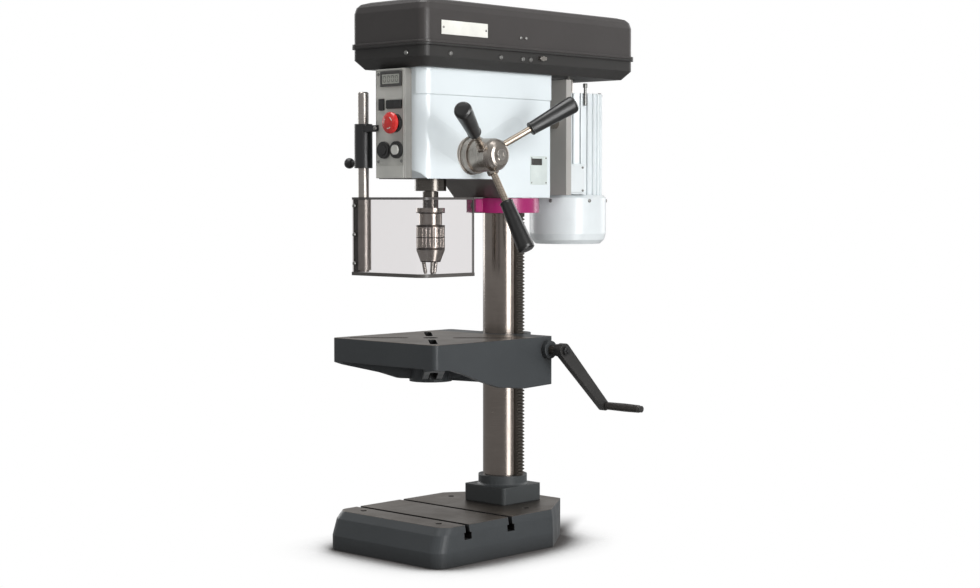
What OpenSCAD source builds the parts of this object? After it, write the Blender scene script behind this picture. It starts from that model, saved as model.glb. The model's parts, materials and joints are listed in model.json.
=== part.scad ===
// benchtop drill press, sizes in mm: column axis on Z, operator side at minus Y, bench face at Z zero

/* [Fits] */
// radial gap of a running fit
run_gap = 0.05; // [0.02:0.01:0.1]
// gap between pieces that only pass each other
free_gap = 0.4; // [0.3:0.05:0.8]

/* [Base] */
// base width
base_w = 282; // [240:2:300]
// base front edge ahead of the column axis
base_front = 309; // [300:1:330]
// base rear edge behind the column axis
base_rear = 85; // [75:1:120]
// base height
base_h = 68; // [64:1:80]
// slope of the front face
base_slope = 20; // [10:1:30]
// front corner radius
base_corner = 24; // [15:1:50]
// width of the rear edge
base_rear_w = 142; // [130:2:160]
// wall round the hollow underside
base_wall = 14; // [8:1:24]
// thickness of the deck
base_deck = 16; // [10:1:22]
// tee slot neck width
slot_neck = 10; // [8:1:14]
// tee slot neck depth
slot_neck_h = 13; // [12:1:22]
// tee slot head width
slot_head = 18; // [15:1:24]
// tee slot head height
slot_head_h = 12; // [8:1:14]
// front tee slot ahead of the column axis
slot_front = 236; // [226:1:240]
// rear tee slot ahead of the column axis
slot_back = 128; // [100:1:160]
// bench bolt hole diameter
bench_hole_d = 12; // [8:1:14]
// bench bolt spacing across
bench_span_x = 190; // [160:1:196]
// bench bolt spacing front to back
bench_span_y = 222; // [200:1:230]
// front bench bolts ahead of the column axis
bench_front = 262; // [258:1:266]

/* [Column] */
// column outside diameter
column_d = 73; // [66:1:76]
// column wall thickness
column_wall = 6; // [4:0.5:10]
// column length from the base to the head
column_span = 559; // [500:1:700]
// column length inside the head
column_socket = 160; // [100:1:165]
// flange side
flange_side = 102; // [96:1:110]
// flange height
flange_h = 31; // [24:1:45]
// flange boss diameter
boss_d = 90; // [82:1:94]
// flange boss height
boss_h = 18; // [5:1:20]
// flange bolt diameter
flange_bolt_d = 10; // [8:1:10]
// flange bolt spacing
flange_bolt_span = 74; // [72:1:78]
// rack collar diameter
collar_d = 134; // [110:1:150]
// rack collar height
collar_h = 27; // [15:1:40]
// collar boss width
collar_boss_w = 23; // [18:1:40]
// collar boss projection
collar_boss = 16; // [8:1:25]

/* [Table] */
// table width
table_w = 260; // [240:2:300]
// table front edge ahead of the column axis
table_front = 305; // [290:1:340]
// table rear edge ahead of the column axis
table_back = 5; // [2:1:12]
// table top above the base top
table_up = 311; // [285:1:311]
// front edge height
table_edge = 42; // [30:1:50]
// top plate thickness
table_plate = 14; // [10:1:18]
// side wall thickness
table_wall = 10; // [6:1:14]
// plan corner radius
table_corner = 9; // [4:1:16]
// depth of the side walls at the rear
table_deep = 89; // [80:1:95]
// slot width
table_slot = 14; // [10:1:16]
// centre hole diameter
table_hole_d = 28; // [20:1:40]
// centre boss diameter
table_boss_d = 76; // [60:1:90]
// column sleeve diameter
sleeve_d = 104; // [100:1:112]
// clamp slit width
slit_w = 4; // [2:0.5:6]
// clamp screw diameter
clamp_d = 12; // [8:1:14]
// clamp lever length
lever_len = 74; // [50:1:90]

/* [Lift] */
// gear module
tooth_module = 2; // [1.5:0.25:2.5]
// rack bar width
rack_w = 16; // [12:1:18]
// rack bar thickness under the teeth
rack_base = 6.4; // [5:0.2:9]
// pinion teeth
lift_teeth = 12; // [12:1:14]
// worm wheel teeth
wheel_teeth = 20; // [18:1:22]
// worm mean radius
worm_r = 9; // [8:0.5:11]
// worm thread half depth
worm_depth = 1.6; // [1.2:0.1:1.8]
// worm shaft ahead of the column axis
worm_y = 23; // [21:1:26]
// crank shaft diameter
crank_d = 14; // [10:1:14]
// crank arm length
crank_len = 155; // [120:1:155]
// crank arm angle below level
crank_turn = 43.7; // [0:0.1:90]
// crank arm distance from the column axis
crank_out = 162; // [150:1:180]
// crank arm thickness
crank_t = 12; // [8:1:16]
// crank hub diameter
crank_hub_d = 26; // [22:1:32]
// crank end diameter
crank_end_d = 18; // [14:1:22]
// crank grip length
crank_grip_len = 80; // [60:1:100]
// crank grip diameter
crank_grip_d = 15; // [13:1:20]

/* [Head] */
// head width
head_w = 128; // [120:2:140]
// head front face ahead of the column axis
head_front = 268; // [260:1:290]
// head rear face behind the column axis
head_rear = 59; // [55:1:70]
// head height
head_h = 191; // [180:1:210]
// neck height below the head
neck_h = 33; // [20:1:45]
// neck front ahead of the column axis
neck_front = 62; // [55:1:80]
// front corner radius
head_corner = 27; // [16:1:27]
// wall thickness
head_wall = 9; // [6:1:12]
// upper band height
band_h = 46; // [30:1:60]
// upper band overhang
band_out = 1.5; // [0.5:0.1:3]
// chamfer under the front
chin = 14; // [6:1:20]
// depth of the side valleys
valley_deep = 3.5; // [2:0.1:5]
// radius of the side valleys
valley_r = 90; // [70:1:120]

/* [Quill and chuck] */
// spindle axis ahead of the column axis
throat = 187; // [180:1:200]
// quill diameter
quill_d = 56; // [54:1:60]
// quill length
quill_len = 165; // [165:1:168]
// quill below the head at rest
quill_drop = 21; // [18:1:21]
// quill stroke
stroke = 80; // [60:1:80]
// spindle diameter
spindle_d = 22; // [18:1:22]
// spindle nose diameter
nose_d = 28; // [26:1:34]
// spindle nose length
nose_len = 29; // [20:1:35]
// quill bearing diameter
quill_bearing_d = 40; // [36:1:40]
// bearing width
bearing_w = 12; // [8:1:12]
// chuck flange diameter
chuck_d = 51; // [48:1:56]
// chuck flange height
chuck_flange_h = 9; // [6:1:12]
// chuck ring diameter
chuck_ring_d = 41; // [41:1:45]
// chuck ring height
chuck_ring_h = 21; // [15:1:25]
// chuck sleeve height
chuck_sleeve_h = 44; // [30:1:50]
// chuck core diameter
chuck_core_d = 40; // [36:1:40]
// chuck nose height
chuck_nose_h = 21.5; // [18:0.5:26]
// chuck nose diameter
chuck_nose_d = 35; // [34:1:40]
// jaw diameter
jaw_d = 7; // [5:0.5:8]
// jaw length
jaw_len = 32; // [28:1:32]
// jaw reach below the nose
jaw_out = 21.5; // [15:0.5:22]
// jaw tilt
jaw_tilt = 10; // [5:0.5:10]
// jaw tip radius
jaw_tip_r = 9; // [7:0.5:9]

/* [Feed] */
// feed pinion teeth
feed_teeth = 14; // [14:1:15]
// quill rack pitch line behind the spindle axis
quill_pitch = 25.5; // [25:0.1:26]
// quill rack width
quill_rack_w = 18; // [14:1:20]
// feed shaft above the head underside
feed_up = 41.5; // [38:0.5:50]
// feed shaft diameter
feed_d = 20; // [16:1:20]
// feed bush diameter
bush_d = 34; // [34:1:36]
// depth ring diameter
depth_d = 64; // [56:1:70]
// depth ring width
depth_w = 13.6; // [10:0.2:20]
// feed hub diameter
hub_d = 58; // [50:1:62]
// feed hub length
hub_len = 54; // [46:1:60]
// spoke diameter
spoke_d = 12; // [8:1:14]
// spoke tilt away from the head
spoke_tilt = 28; // [20:1:35]
// spoke reach from the feed axis
spoke_reach = 165; // [140:1:170]
// turn of the first spoke
spoke_turn = 34; // [0:1:120]
// grip length
grip_len = 94; // [80:1:110]
// grip diameter at the inner end
grip_inner_d = 23; // [18:1:26]
// grip diameter at the outer end
grip_outer_d = 31; // [26:1:34]
// spring cup diameter
cup_d = 76; // [70:1:80]
// spring cup length
cup_len = 28; // [22:1:35]
// turns of the return spring
spring_turns = 7; // [4:1:9]

/* [Controls] */
// control box width
box_w = 73; // [72:1:74]
// control box underside above the head underside
box_low = 1; // [0.5:0.5:4]
// control box top below the head top
box_drop = 2; // [1:0.5:4]
// control box depth
box_depth = 18; // [17:1:20]
// control box wall thickness
box_wall = 5; // [4:0.5:6]
// recess of the panel face
panel_recess = 1.2; // [0.5:0.1:2]
// chin of the box below the panel
box_chin = 22; // [15:1:26]
// emergency stop offset from the middle
estop_x = 15; // [10:0.5:16]
// emergency stop height in the box
estop_up = 94.5; // [90:0.5:96]
// emergency stop cap diameter
estop_d = 37; // [32:1:40]
// emergency stop stem diameter
estop_stem_d = 18; // [14:1:20]
// start button offset from the middle
start_x = 18.5; // [16:0.5:19]
// stop button offset from the middle
stop_x = -13; // [-16:0.5:-12]
// button height in the box
button_up = 48.5; // [46:0.5:50]
// button bezel diameter
bezel_d = 29; // [26:0.5:29]
// button cap diameter
cap_d = 17; // [14:0.5:19]
// light key offset from the middle
key_x = -20; // [-22:0.5:-18]
// light key width
key_w = 12; // [10:0.5:13]
// light key height
key_h = 19; // [15:0.5:21]
// speed rocker offset from the middle
rocker_x = 11; // [10:0.5:12]
// speed rocker width
rocker_w = 36; // [30:0.5:37]
// speed rocker height
rocker_h = 14; // [10:0.5:16]
// height of the keys in the box
keys_up = 127; // [125:0.5:130]
// display offset from the middle
display_x = 4; // [-4:0.5:5]
// display frame width
display_w = 52; // [40:1:54]
// display frame height
display_h = 26; // [20:1:26]
// display middle below the box top
display_down = 17.5; // [16.5:0.5:22]

/* [Belt cover] */
// cover width
cover_w = 184; // [180:2:210]
// cover front ahead of the column axis
cover_front = 292; // [280:1:310]
// cover rear behind the column axis
cover_rear = 269; // [262:1:290]
// pan height
pan_h = 39; // [36:1:45]
// slope round the pan floor
pan_slope = 16; // [8:1:18]
// lid height
lid_h = 77; // [70:1:90]
// rounding of the lid top
lid_round = 20; // [10:1:22]
// plan corner radius
cover_corner = 16; // [12:1:20]
// sheet thickness
cover_wall = 3; // [2:0.5:4]
// lip projection
lip = 4; // [2:0.5:6]
// lip height
lip_h = 4; // [3:0.5:5]
// hinge knuckle diameter
knuckle_d = 10; // [8:0.5:12]
// hinge knuckle length
knuckle_len = 24; // [16:1:30]
// hinge pin diameter
hinge_pin_d = 5; // [3:0.5:6]

/* [Drive] */
// pulley steps
pulley_steps = 4; // [3:1:4]
// smallest pulley radius
pulley_small = 36; // [30:1:36]
// growth of radius from step to step
pulley_grow = 10; // [6:1:10]
// step height
step_h = 15; // [13:0.5:15]
// step that carries the belt
belt_step = 1; // [0:1:2]
// belt width
belt_w = 6.6; // [5:0.1:6.6]
// belt thickness
belt_t = 5.5; // [4:0.1:5.5]
// groove width at the rim
groove_w = 11; // [11:0.5:12]
// groove width at the floor
groove_floor = 6.4; // [6.4:0.1:7]
// groove depth
groove_deep = 8; // [8:0.5:9]
// drive sleeve diameter
sleeve_tube_d = 25; // [24:1:26]
// sleeve bearing diameter
sleeve_bearing_d = 47; // [42:1:48]
// spline core diameter
spline_core_d = 14; // [12:1:14]
// spline key diameter
spline_key_d = 16.8; // [16:0.1:17.4]

/* [Motor] */
// motor axis behind the column axis
motor_reach = 182; // [178:1:192]
// motor body diameter over the fins
motor_d = 130; // [120:1:136]
// fin height
fin_h = 4; // [2:0.5:6]
// fin count
fins = 28; // [16:1:36]
// motor body height
motor_h = 191; // [170:1:195]
// motor top below the head top
motor_low = 28; // [24:1:40]
// cowl diameter
cowl_d = 146; // [140:1:150]
// cowl height
cowl_h = 92; // [70:1:92]
// bevel under the cowl
cowl_bevel = 19; // [10:1:24]
// motor shaft diameter
motor_shaft_d = 19; // [14:1:20]
// motor plate width
plate_w = 144; // [130:2:150]
// motor plate thickness
plate_t = 14; // [10:1:18]
// motor plate behind the column axis
plate_y = 95; // [92:1:98]
// motor plate height
plate_h = 213; // [200:1:213]
// slide rod diameter
rod_d = 20; // [16:1:20]
// slide rod offset from the middle
rod_x = 44.5; // [44:0.5:48]
// slide rods above the head underside
rod_up = 105; // [95:1:120]
// belt slack travel of the motor
motor_travel = 12; // [6:1:12]

/* [Chuck guard] */
// guard rod offset from the middle
guard_x = 73; // [70:1:80]
// guard rod ahead of the column axis
guard_y = 280; // [276:1:284]
// guard rod diameter
guard_rod_d = 19; // [14:1:20]
// guard rod length
guard_rod_len = 315; // [290:1:320]
// guard rod top below the head top
guard_low = 39; // [36:1:50]
// holder diameter
holder_d = 32; // [28:1:36]
// holder height
holder_h = 77; // [50:1:80]
// holder underside above the head underside
holder_up = 19; // [10:1:30]
// clamp knob diameter
knob_d = 19; // [14:1:24]
// shield sheet thickness
sheet = 3; // [2:0.5:5]
// shield right face offset from the middle
shield_x = 92; // [80:1:93]
// shield return length
shield_back = 125; // [90:1:130]
// shield bend radius
shield_bend = 20; // [10:1:30]
// shield height
shield_h = 131; // [100:1:133]
// shield bottom trim height
trim_h = 6; // [4:0.5:10]

/* [Hidden] */
$fn = 64;
eps = 1;
column_r = column_d / 2;
neck_z = base_h + column_span;
head_z = neck_z + neck_h;
head_top = head_z + head_h;
column_top = neck_z + column_socket;
flange_top = base_h + flange_h;
rack_low = flange_top + boss_h + free_gap;
collar_z = neck_z - free_gap - collar_h;
rack_high = collar_z - free_gap;
collar_face = collar_d / 2 + collar_boss;
bench_mid = bench_front - bench_span_y / 2;
flange_bolt_seat = base_h * 0.4;
flange_bolt_bite = flange_h * 0.7;
base_round = 6;
base_skirt = 26;
base_waist = 14;
base_crown = 14;
base_draft = 1.5;
base_shoulder = 4;
post_margin = 18;
bench_boss = 3;
flange_corner = 7;
flange_fillet = 3;
bolt_head_h = 7;
collar_step = 2;
collar_rim = 5;
collar_core = 12;
collar_screw_r = 5;
grub_r = 4;
grub_y = 18;
grub_tip = sqrt(pow(column_r, 2) - pow(grub_y - grub_r, 2)) + free_gap;
grub_z = neck_z + column_socket * 0.3;
screw_sink = 2;
// racks and pinions
press_angle = 20;
tooth_pitch = PI * tooth_module;
backlash = 0.12 * tooth_module;
rack_add = 0.7 * tooth_module;
rack_ded = 1.2 * tooth_module;
gear_add = 0.9 * tooth_module;
gear_ded = 1.0 * tooth_module;
lift_r = lift_teeth * tooth_module / 2;
wheel_r = wheel_teeth * tooth_module / 2;
rack_back = column_r + free_gap;
lift_pitch_x = rack_back + rack_base + rack_ded;
lift_x = lift_pitch_x + lift_r;
table_z = base_h + table_up;
crank_up = 23;
crank_z = table_z - crank_up;
lift_z = crank_z - worm_r - wheel_r;
lift_w = rack_w + 2;
lift_shaft_d = 12;
wheel_w = 12;
wheel_cut = 1.9;
wheel_mean = wheel_r - 0.8;
worm_len = 24;
worm_x = lift_x - worm_len / 2;
lift_front = worm_y + wheel_w / 2 + 14;
lift_rear = lift_w / 2 + 12;
table_low = table_z - table_deep;
table_boss_low = table_z - table_edge - 34;
arm_rise = 5;
arm_rim = 10;
rib_rise = 3;
rib_w = 36;
rib_bite = 4;
table_lip = 3;
slot_root = 8;
slot_end = 38;
block_in = 20;
block_wall = 8;
gear_room = 1;
shaft_boss = 9;
shaft_in = sqrt(pow(column_r, 2) - pow(worm_y - crank_d / 2, 2)) + 2 * free_gap;
rack_hollow = 6;
shaft_boss_x = table_w / 2 + 10;
ear_out = 12;
clamp_y = sleeve_d / 2 + ear_out;
clamp_z = lift_z;
ear_h = 46;
ear_w = 20;
lock_hub = 18;
lock_nut = 8;
lever_r = 4.5;
lever_ball_r = 8;
lever_tilt = 100;
crank_pin_r = 4.5;
crank_boss = 8;
pin_cap = 2;
pin_cap_r = 6;
// head, quill and spindle
spindle_y = -throat;
quill_z = head_z - quill_drop;
quill_top = quill_z + quill_len;
nose_top = quill_z - 0.8;
chuck_top = nose_top - nose_len;
chuck_ring_z = chuck_top - chuck_flange_h - chuck_ring_h;
chuck_sleeve_z = chuck_ring_z - chuck_sleeve_h;
chuck_low = chuck_sleeve_z - chuck_nose_h;
jaw_z = chuck_low - jaw_out;
spline_w = 3.2;
arbor_d = 16;
arbor_len = 28;
flutes = 24;
flute_r = 1.6;
flute_end = 5;
jaw_point = 4;
bearing_low = quill_z + 6;
bearing_high = quill_top - 6 - bearing_w;
drive_z = quill_top + 9;
shoulder_z = drive_z - 3;
barrel_top = drive_z + 2;
barrel_wall = 12;
sleeve_bearing_w = 15;
feed_r = feed_teeth * tooth_module / 2;
feed_y = spindle_y + quill_pitch + feed_r;
feed_z = head_z + feed_up;
pinion_w = quill_rack_w - 2;
feed_room = quill_rack_w / 2 + 3;
bush_in = sqrt(pow(quill_d / 2, 2) - pow(quill_pitch + feed_r - bush_d / 2, 2)) + 2 * free_gap;
pad = 2;
boss_x = head_w / 2 + pad;
depth_x = boss_x + free_gap;
hub_x = depth_x + depth_w + free_gap;
spigot_d = 32;
spoke_x = hub_x + hub_len * 0.31;
spoke_len = spoke_reach / cos(spoke_tilt);
spoke_root = 13;
cup_x = -boss_x - cup_len;
cup_wall = 4;
spring_x = cup_x + cup_wall + 2;
hub_cap = 6;
// control box
box_z = head_z + box_low;
box_h = head_h - box_low - box_drop;
box_y = -head_front - box_depth;
panel_y = box_y + panel_recess;
panel_back = box_y + box_wall;
estop_z = box_z + estop_up;
button_z = box_z + button_up;
keys_z = box_z + keys_up;
display_z = box_z + box_h - display_down;
collar_t = 1.6;
collar_out = 2;
box_round = 4;
panel_rim = 3;
display_t = 2.5;
display_rim = 4;
bezel_h = 5.5;
estop_seat = 7;
estop_out = 11;
start_out = 8;
stop_out = 6.5;
key_out = 3;
key_rim = 1.2;
rocker_out = 3.2;
lug = 4;
rocker_pin_d = 4;
rocker_pin_y = panel_back + 3.5;
rocker_room = 1.4;
// belt cover and drive
seam_z = head_top + pan_h;
lid_z = seam_z + free_gap;
lid_top = lid_z + lid_h;
hinge_x = -cover_w / 2 - lip - knuckle_d / 2;
hinge_z = seam_z + free_gap / 2;
hinge_ys = [-cover_front * 0.6, cover_rear * 0.5];
screw_ys = [-229, -103, -46, -25];
screw_front_x = 48;
pan_screw_r = 2;
pan_screw_head = 4.5;
screw_z = seam_z - pan_h * 0.42;
latch_y = 3;
latch_r = 3;
latch_bar = 8;
pan_corner = 6;
motor_slot_r = motor_shaft_d / 2 + 5;
latch_z = seam_z - lip_h - 9;
pulley_z = head_top + 8;
pulley_h = pulley_steps * step_h;
pulley_big = pulley_small + pulley_grow * (pulley_steps - 1);
belt_z = pulley_z + (belt_step + 0.5) * step_h;
belt_out_s = pulley_big - pulley_grow * belt_step - 0.5;
belt_out_m = pulley_small + pulley_grow * belt_step - 0.5;
spindle_top = pulley_z + pulley_h + 12;
// motor
motor_top = head_top - motor_low;
motor_z = motor_top - motor_h;
cowl_z = motor_z - cowl_h;
bell = 9;
fin_w = 3;
terminal_w = 44;
terminal_h = 56;
terminal_t = 19;
terminal_turn = 40;
cowl_wall = 3;
fan_r = 17;
fan_h = 34;
fan_up = 24;
blades = 7;
rotor_r = motor_d / 2 - 20;
rod_z = head_z + rod_up;
rod_y = column_r * 0.83;
// guard
guard_top = head_top - guard_low;
guard_z = guard_top - guard_rod_len;
holder_z = head_z + holder_up;
arm_z = holder_z + holder_h - 14;
arm_h = 11;
arm_t = 14;
tab_t = 5;
tab_len = 9;
knob_screw_r = 4;
knob_neck = 11;
knob_z = holder_z + 9;
hoop_d = guard_rod_d + 7;
shield_y = -guard_y - hoop_d / 2 - sheet;
shield_z = guard_z;
trim_out = 1;
strip_w = 12;

function inv_angle(a) = tan(a) * 180 / PI - a;
function flank_angle(rp, r) =
  (tooth_pitch / 2 - backlash) / 2 / rp * 180 / PI
  + inv_angle(press_angle) - inv_angle(acos(min(1, rp * cos(press_angle) / r)));
function tooth_r(rp, k) = rp - gear_ded + (gear_add + gear_ded) * k / 5;
function gear_points(teeth, rp) = [
  for (i = [0 : teeth - 1])
    for (k = [0 : 11])
      let (
        r = tooth_r(rp, k < 6 ? k : 11 - k),
        side = k < 6 ? -1 : 1,
        a = i * 360 / teeth + side * flank_angle(rp, r)
      )
      [r * cos(a), r * sin(a)]
];
function wheel_points(teeth, mean, cut) = [
  for (i = [0 : teeth * 8 - 1])
    let (a = i * 45 / teeth)
    (mean + cut * cos(a * teeth)) * [cos(a), sin(a)]
];
gap_tip = tooth_pitch / 4 + backlash / 2 + rack_add * tan(press_angle);
gap_root = tooth_pitch / 4 + backlash / 2 - rack_ded * tan(press_angle);
function gap_points(k) = [
  [rack_add + eps, k * tooth_pitch - gap_tip],
  [rack_add, k * tooth_pitch - gap_tip],
  [-rack_ded, k * tooth_pitch - gap_root],
  [-rack_ded, k * tooth_pitch + gap_root],
  [rack_add, k * tooth_pitch + gap_tip],
  [rack_add + eps, k * tooth_pitch + gap_tip]
];
function comb_points(first, last) = concat(
  [for (k = [first : last]) each gap_points(k)],
  [[rack_add + 2 * eps, last * tooth_pitch + gap_tip], [rack_add + 2 * eps, first * tooth_pitch - gap_tip]]
);
spring_in = feed_d / 2 + 0.6;
spring_out = cup_d / 2 - cup_wall - 0.1;
spring_t = 0.9;
function spring_r(t) = spring_in + (spring_out - spring_t - spring_in) * t;
function spiral_points(turns) = concat(
  [for (i = [0 : turns * 24]) let (t = i / (turns * 24)) spring_r(t) * [cos(i * 15), sin(i * 15)]],
  [for (i = [turns * 24 : -1 : 0])
    let (t = i / (turns * 24)) (spring_r(t) + spring_t) * [cos(i * 15), sin(i * 15)]]
);

function loop_points(len, ra, rb) =
  let (tilt = asin((ra - rb) / len), n = 40)
  concat(
    [for (i = [0 : n]) let (a = 90 - tilt + i * (180 + 2 * tilt) / n) ra * [cos(a), sin(a)]],
    [for (i = [0 : n])
      let (a = -90 + tilt + i * (180 - 2 * tilt) / n)
      [len + rb * cos(a), rb * sin(a)]]
  );

module rod_x_axis(r, x0, x1) {
  translate([x0, 0, 0]) rotate([0, 90, 0]) cylinder(r = r, h = x1 - x0);
}
module rod_y_axis(r, y0, y1) {
  translate([0, y0, 0]) rotate([-90, 0, 0]) cylinder(r = r, h = y1 - y0);
}
module spindle_at(z) {
  translate([0, spindle_y, z]) children();
}
module motor_at(z) {
  translate([0, motor_reach, z]) children();
}
module guard_at(z) {
  translate([-guard_x, -guard_y, z]) children();
}
module feed_at() {
  translate([0, feed_y, feed_z]) children();
}
module worm_at() {
  translate([0, -worm_y, crank_z]) children();
}
module rounded2d(x0, x1, y0, y1, r) {
  translate([x0 + r, y0]) square([x1 - x0 - 2 * r, y1 - y0]);
  translate([x0, y0 + r]) square([x1 - x0, y1 - y0 - 2 * r]);
  for (x = [x0 + r, x1 - r])
    for (y = [y0 + r, y1 - r])
      translate([x, y]) circle(r = r);
}
module link2d(len, ra, rb) {
  tilt = asin((ra - rb) / len);
  circle(r = ra);
  translate([len, 0]) circle(r = rb);
  polygon([
    [ra * sin(tilt), ra * cos(tilt)],
    [len + rb * sin(tilt), rb * cos(tilt)],
    [len + rb * sin(tilt), -rb * cos(tilt)],
    [ra * sin(tilt), -ra * cos(tilt)]
  ]);
}

module base_slab(front, half, z0, t) {
  for (s = [-1, 1]) {
    translate([s * (half - base_corner), -front + base_corner, z0])
      cylinder(r = base_corner, h = t, $fn = 32);
    translate([s * (half - base_round), -base_waist - base_round, z0])
      cylinder(r = base_round, h = t, $fn = 32);
    translate([s * (base_rear_w / 2 - base_round), base_rear - base_round, z0])
      cylinder(r = base_round, h = t, $fn = 32);
  }
}
module base_posts() {
  post = flange_side + post_margin;
  translate([-post / 2, -post / 2, -2 * eps]) cube([post, post, base_h]);
  for (y = [slot_front, slot_back])
    translate([-base_w / 2, -y - slot_head, base_h - slot_neck_h - slot_head_h - base_deck / 2])
      cube([base_w, 2 * slot_head, base_h]);
  for (x = [-1, 1])
    for (y = [-1, 1])
      translate([x * bench_span_x / 2, -bench_mid + y * bench_span_y / 2, -2 * eps])
        cylinder(r = bench_hole_d + bench_boss, h = base_h);
}
module base_casting() {
  half = base_w / 2 - base_wall;
  color([0.27, 0.28, 0.29])
  difference() {
    hull() {
      base_slab(base_front, base_w / 2, 0, base_skirt);
      base_slab(base_front - base_slope * 0.45, base_w / 2 - base_draft, base_h - base_crown, eps);
      base_slab(base_front - base_slope, base_w / 2 - base_shoulder, base_h - eps, eps);
    }
    difference() {
      translate([0, 0, -eps]) linear_extrude(base_h - base_deck + eps) polygon([
        [-half, -base_front + base_corner + base_wall + base_slope],
        [-half + base_corner, -base_front + base_wall + base_slope],
        [half - base_corner, -base_front + base_wall + base_slope],
        [half, -base_front + base_corner + base_wall + base_slope],
        [half, -base_waist - base_wall],
        [base_rear_w / 2 - base_wall, base_rear - base_wall],
        [-base_rear_w / 2 + base_wall, base_rear - base_wall],
        [-half, -base_waist - base_wall]
      ]);
      base_posts();
    }
    for (y = [slot_front, slot_back]) {
      translate([-base_w, -y - slot_neck / 2, base_h - slot_neck_h - eps])
        cube([2 * base_w, slot_neck, slot_neck_h + 2 * eps]);
      translate([-base_w, -y - slot_head / 2, base_h - slot_neck_h - slot_head_h])
        cube([2 * base_w, slot_head, slot_head_h]);
    }
    for (x = [-1, 1])
      for (y = [-1, 1]) {
        translate([x * bench_span_x / 2, -bench_mid + y * bench_span_y / 2, -eps])
          cylinder(r = bench_hole_d / 2, h = base_h + 2 * eps);
        translate([x * flange_bolt_span / 2, y * flange_bolt_span / 2, -eps])
          cylinder(r = flange_bolt_d, h = flange_bolt_seat + eps);
        translate([x * flange_bolt_span / 2, y * flange_bolt_span / 2, 0])
          cylinder(r = flange_bolt_d / 2 + free_gap, h = base_h + eps);
      }
  }
}

module column_flange() {
  half = flange_side / 2;
  color([0.25, 0.26, 0.27])
  difference() {
    union() {
      translate([0, 0, base_h]) linear_extrude(flange_h)
        rounded2d(-half, half, -half, half, flange_corner);
      translate([0, 0, flange_top]) cylinder(r = boss_d / 2, h = boss_h);
      translate([0, 0, flange_top])
        cylinder(r1 = boss_d / 2 + flange_fillet, r2 = boss_d / 2, h = flange_fillet);
    }
    translate([0, 0, base_h - eps]) cylinder(r = column_r + run_gap, h = flange_h + boss_h + 2 * eps);
    for (x = [-1, 1])
      for (y = [-1, 1])
        translate([x * flange_bolt_span / 2, y * flange_bolt_span / 2, base_h - eps])
          cylinder(r = flange_bolt_d / 2 + run_gap, h = flange_bolt_bite + 2 * eps);
    translate([0, 0, base_h + flange_h / 2]) rod_y_axis(grub_r + run_gap, column_r - eps, half + eps);
  }
}
module flange_bolts() {
  color([0.55, 0.56, 0.57])
  for (x = [-1, 1])
    for (y = [-1, 1])
      translate([x * flange_bolt_span / 2, y * flange_bolt_span / 2, flange_bolt_seat]) {
        cylinder(r = flange_bolt_d / 2, h = base_h - flange_bolt_seat + flange_bolt_bite);
        translate([0, 0, -bolt_head_h]) cylinder(r = flange_bolt_d * 0.92, h = bolt_head_h, $fn = 6);
      }
}
module column() {
  color([0.62, 0.62, 0.63])
  difference() {
    translate([0, 0, base_h]) cylinder(r = column_r, h = column_top - base_h);
    translate([0, 0, base_h - eps])
      cylinder(r = column_r - column_wall, h = column_top - base_h + 2 * eps);
  }
}
module rack_collar() {
  color([0.62, 0.12, 0.36])
  difference() {
    union() {
      translate([0, 0, collar_z]) cylinder(r = collar_d / 2, h = collar_h);
      translate([-collar_boss_w / 2, -collar_face, collar_z + collar_step])
        cube([collar_boss_w, collar_face - column_r - 2 * collar_step, collar_h - 2 * collar_step]);
    }
    translate([0, 0, collar_z - eps]) cylinder(r = column_r + run_gap, h = collar_h + 2 * eps);
    translate([0, 0, collar_z - eps]) difference() {
      cylinder(r = collar_d / 2 - collar_rim, h = collar_h * 0.6);
      cylinder(r = column_r + collar_core, h = collar_h);
      translate([-collar_boss_w / 2, -collar_face, 0]) cube([collar_boss_w, collar_face, collar_h]);
    }
    translate([0, 0, collar_z + collar_h / 2])
      rod_y_axis(collar_screw_r + run_gap, -collar_face - eps, -column_r + eps);
  }
}
module set_screws() {
  color([0.2, 0.2, 0.21]) {
    translate([0, 0, collar_z + collar_h / 2])
      socket_screw(collar_screw_r, -collar_face + screw_sink, -column_r - free_gap);
    translate([0, 0, base_h + flange_h / 2]) rotate([0, 0, 180])
      socket_screw(grub_r, -flange_side / 2 + screw_sink, -column_r - free_gap);
    for (y = [-grub_y, grub_y])
      translate([0, y, grub_z]) rotate([0, 0, -90])
        socket_screw(grub_r, -head_w / 2 + screw_sink, -grub_tip);
  }
}
module socket_screw(r, y0, y1) {
  difference() {
    rod_y_axis(r, y0, y1);
    translate([0, y0 - eps, 0]) rotate([-90, 0, 0]) cylinder(r = r * 0.6, h = r + eps, $fn = 6);
  }
}

module lift_rack() {
  first = ceil((rack_low + gap_tip - lift_z) / tooth_pitch);
  last = floor((rack_high - gap_tip - lift_z) / tooth_pitch);
  color([0.48, 0.47, 0.45])
  difference() {
    translate([column_r - rack_hollow, -rack_w / 2, rack_low])
      cube([lift_pitch_x + rack_add - column_r + rack_hollow, rack_w, rack_high - rack_low]);
    translate([0, 0, rack_low - eps]) cylinder(r = rack_back, h = rack_high - rack_low + 2 * eps);
    translate([lift_pitch_x, rack_w / 2 + eps, lift_z]) rotate([90, 0, 0])
      linear_extrude(rack_w + 2 * eps) polygon(comb_points(first, last));
  }
}
module table_side2d() {
  polygon([
    [-table_front, table_z],
    [-table_front, table_z - table_edge],
    [-table_front * 0.87, table_z - table_edge - table_lip],
    [-table_front * 0.765, table_z - table_edge - (table_deep - table_edge) * 0.26],
    [-table_front * 0.63, table_z - table_edge - (table_deep - table_edge) * 0.58],
    [-table_front * 0.48, table_z - table_edge - (table_deep - table_edge) * 0.87],
    [-table_front * 0.27, table_low],
    [-table_back, table_low + table_lip],
    [-table_back, table_z]
  ]);
}
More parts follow.
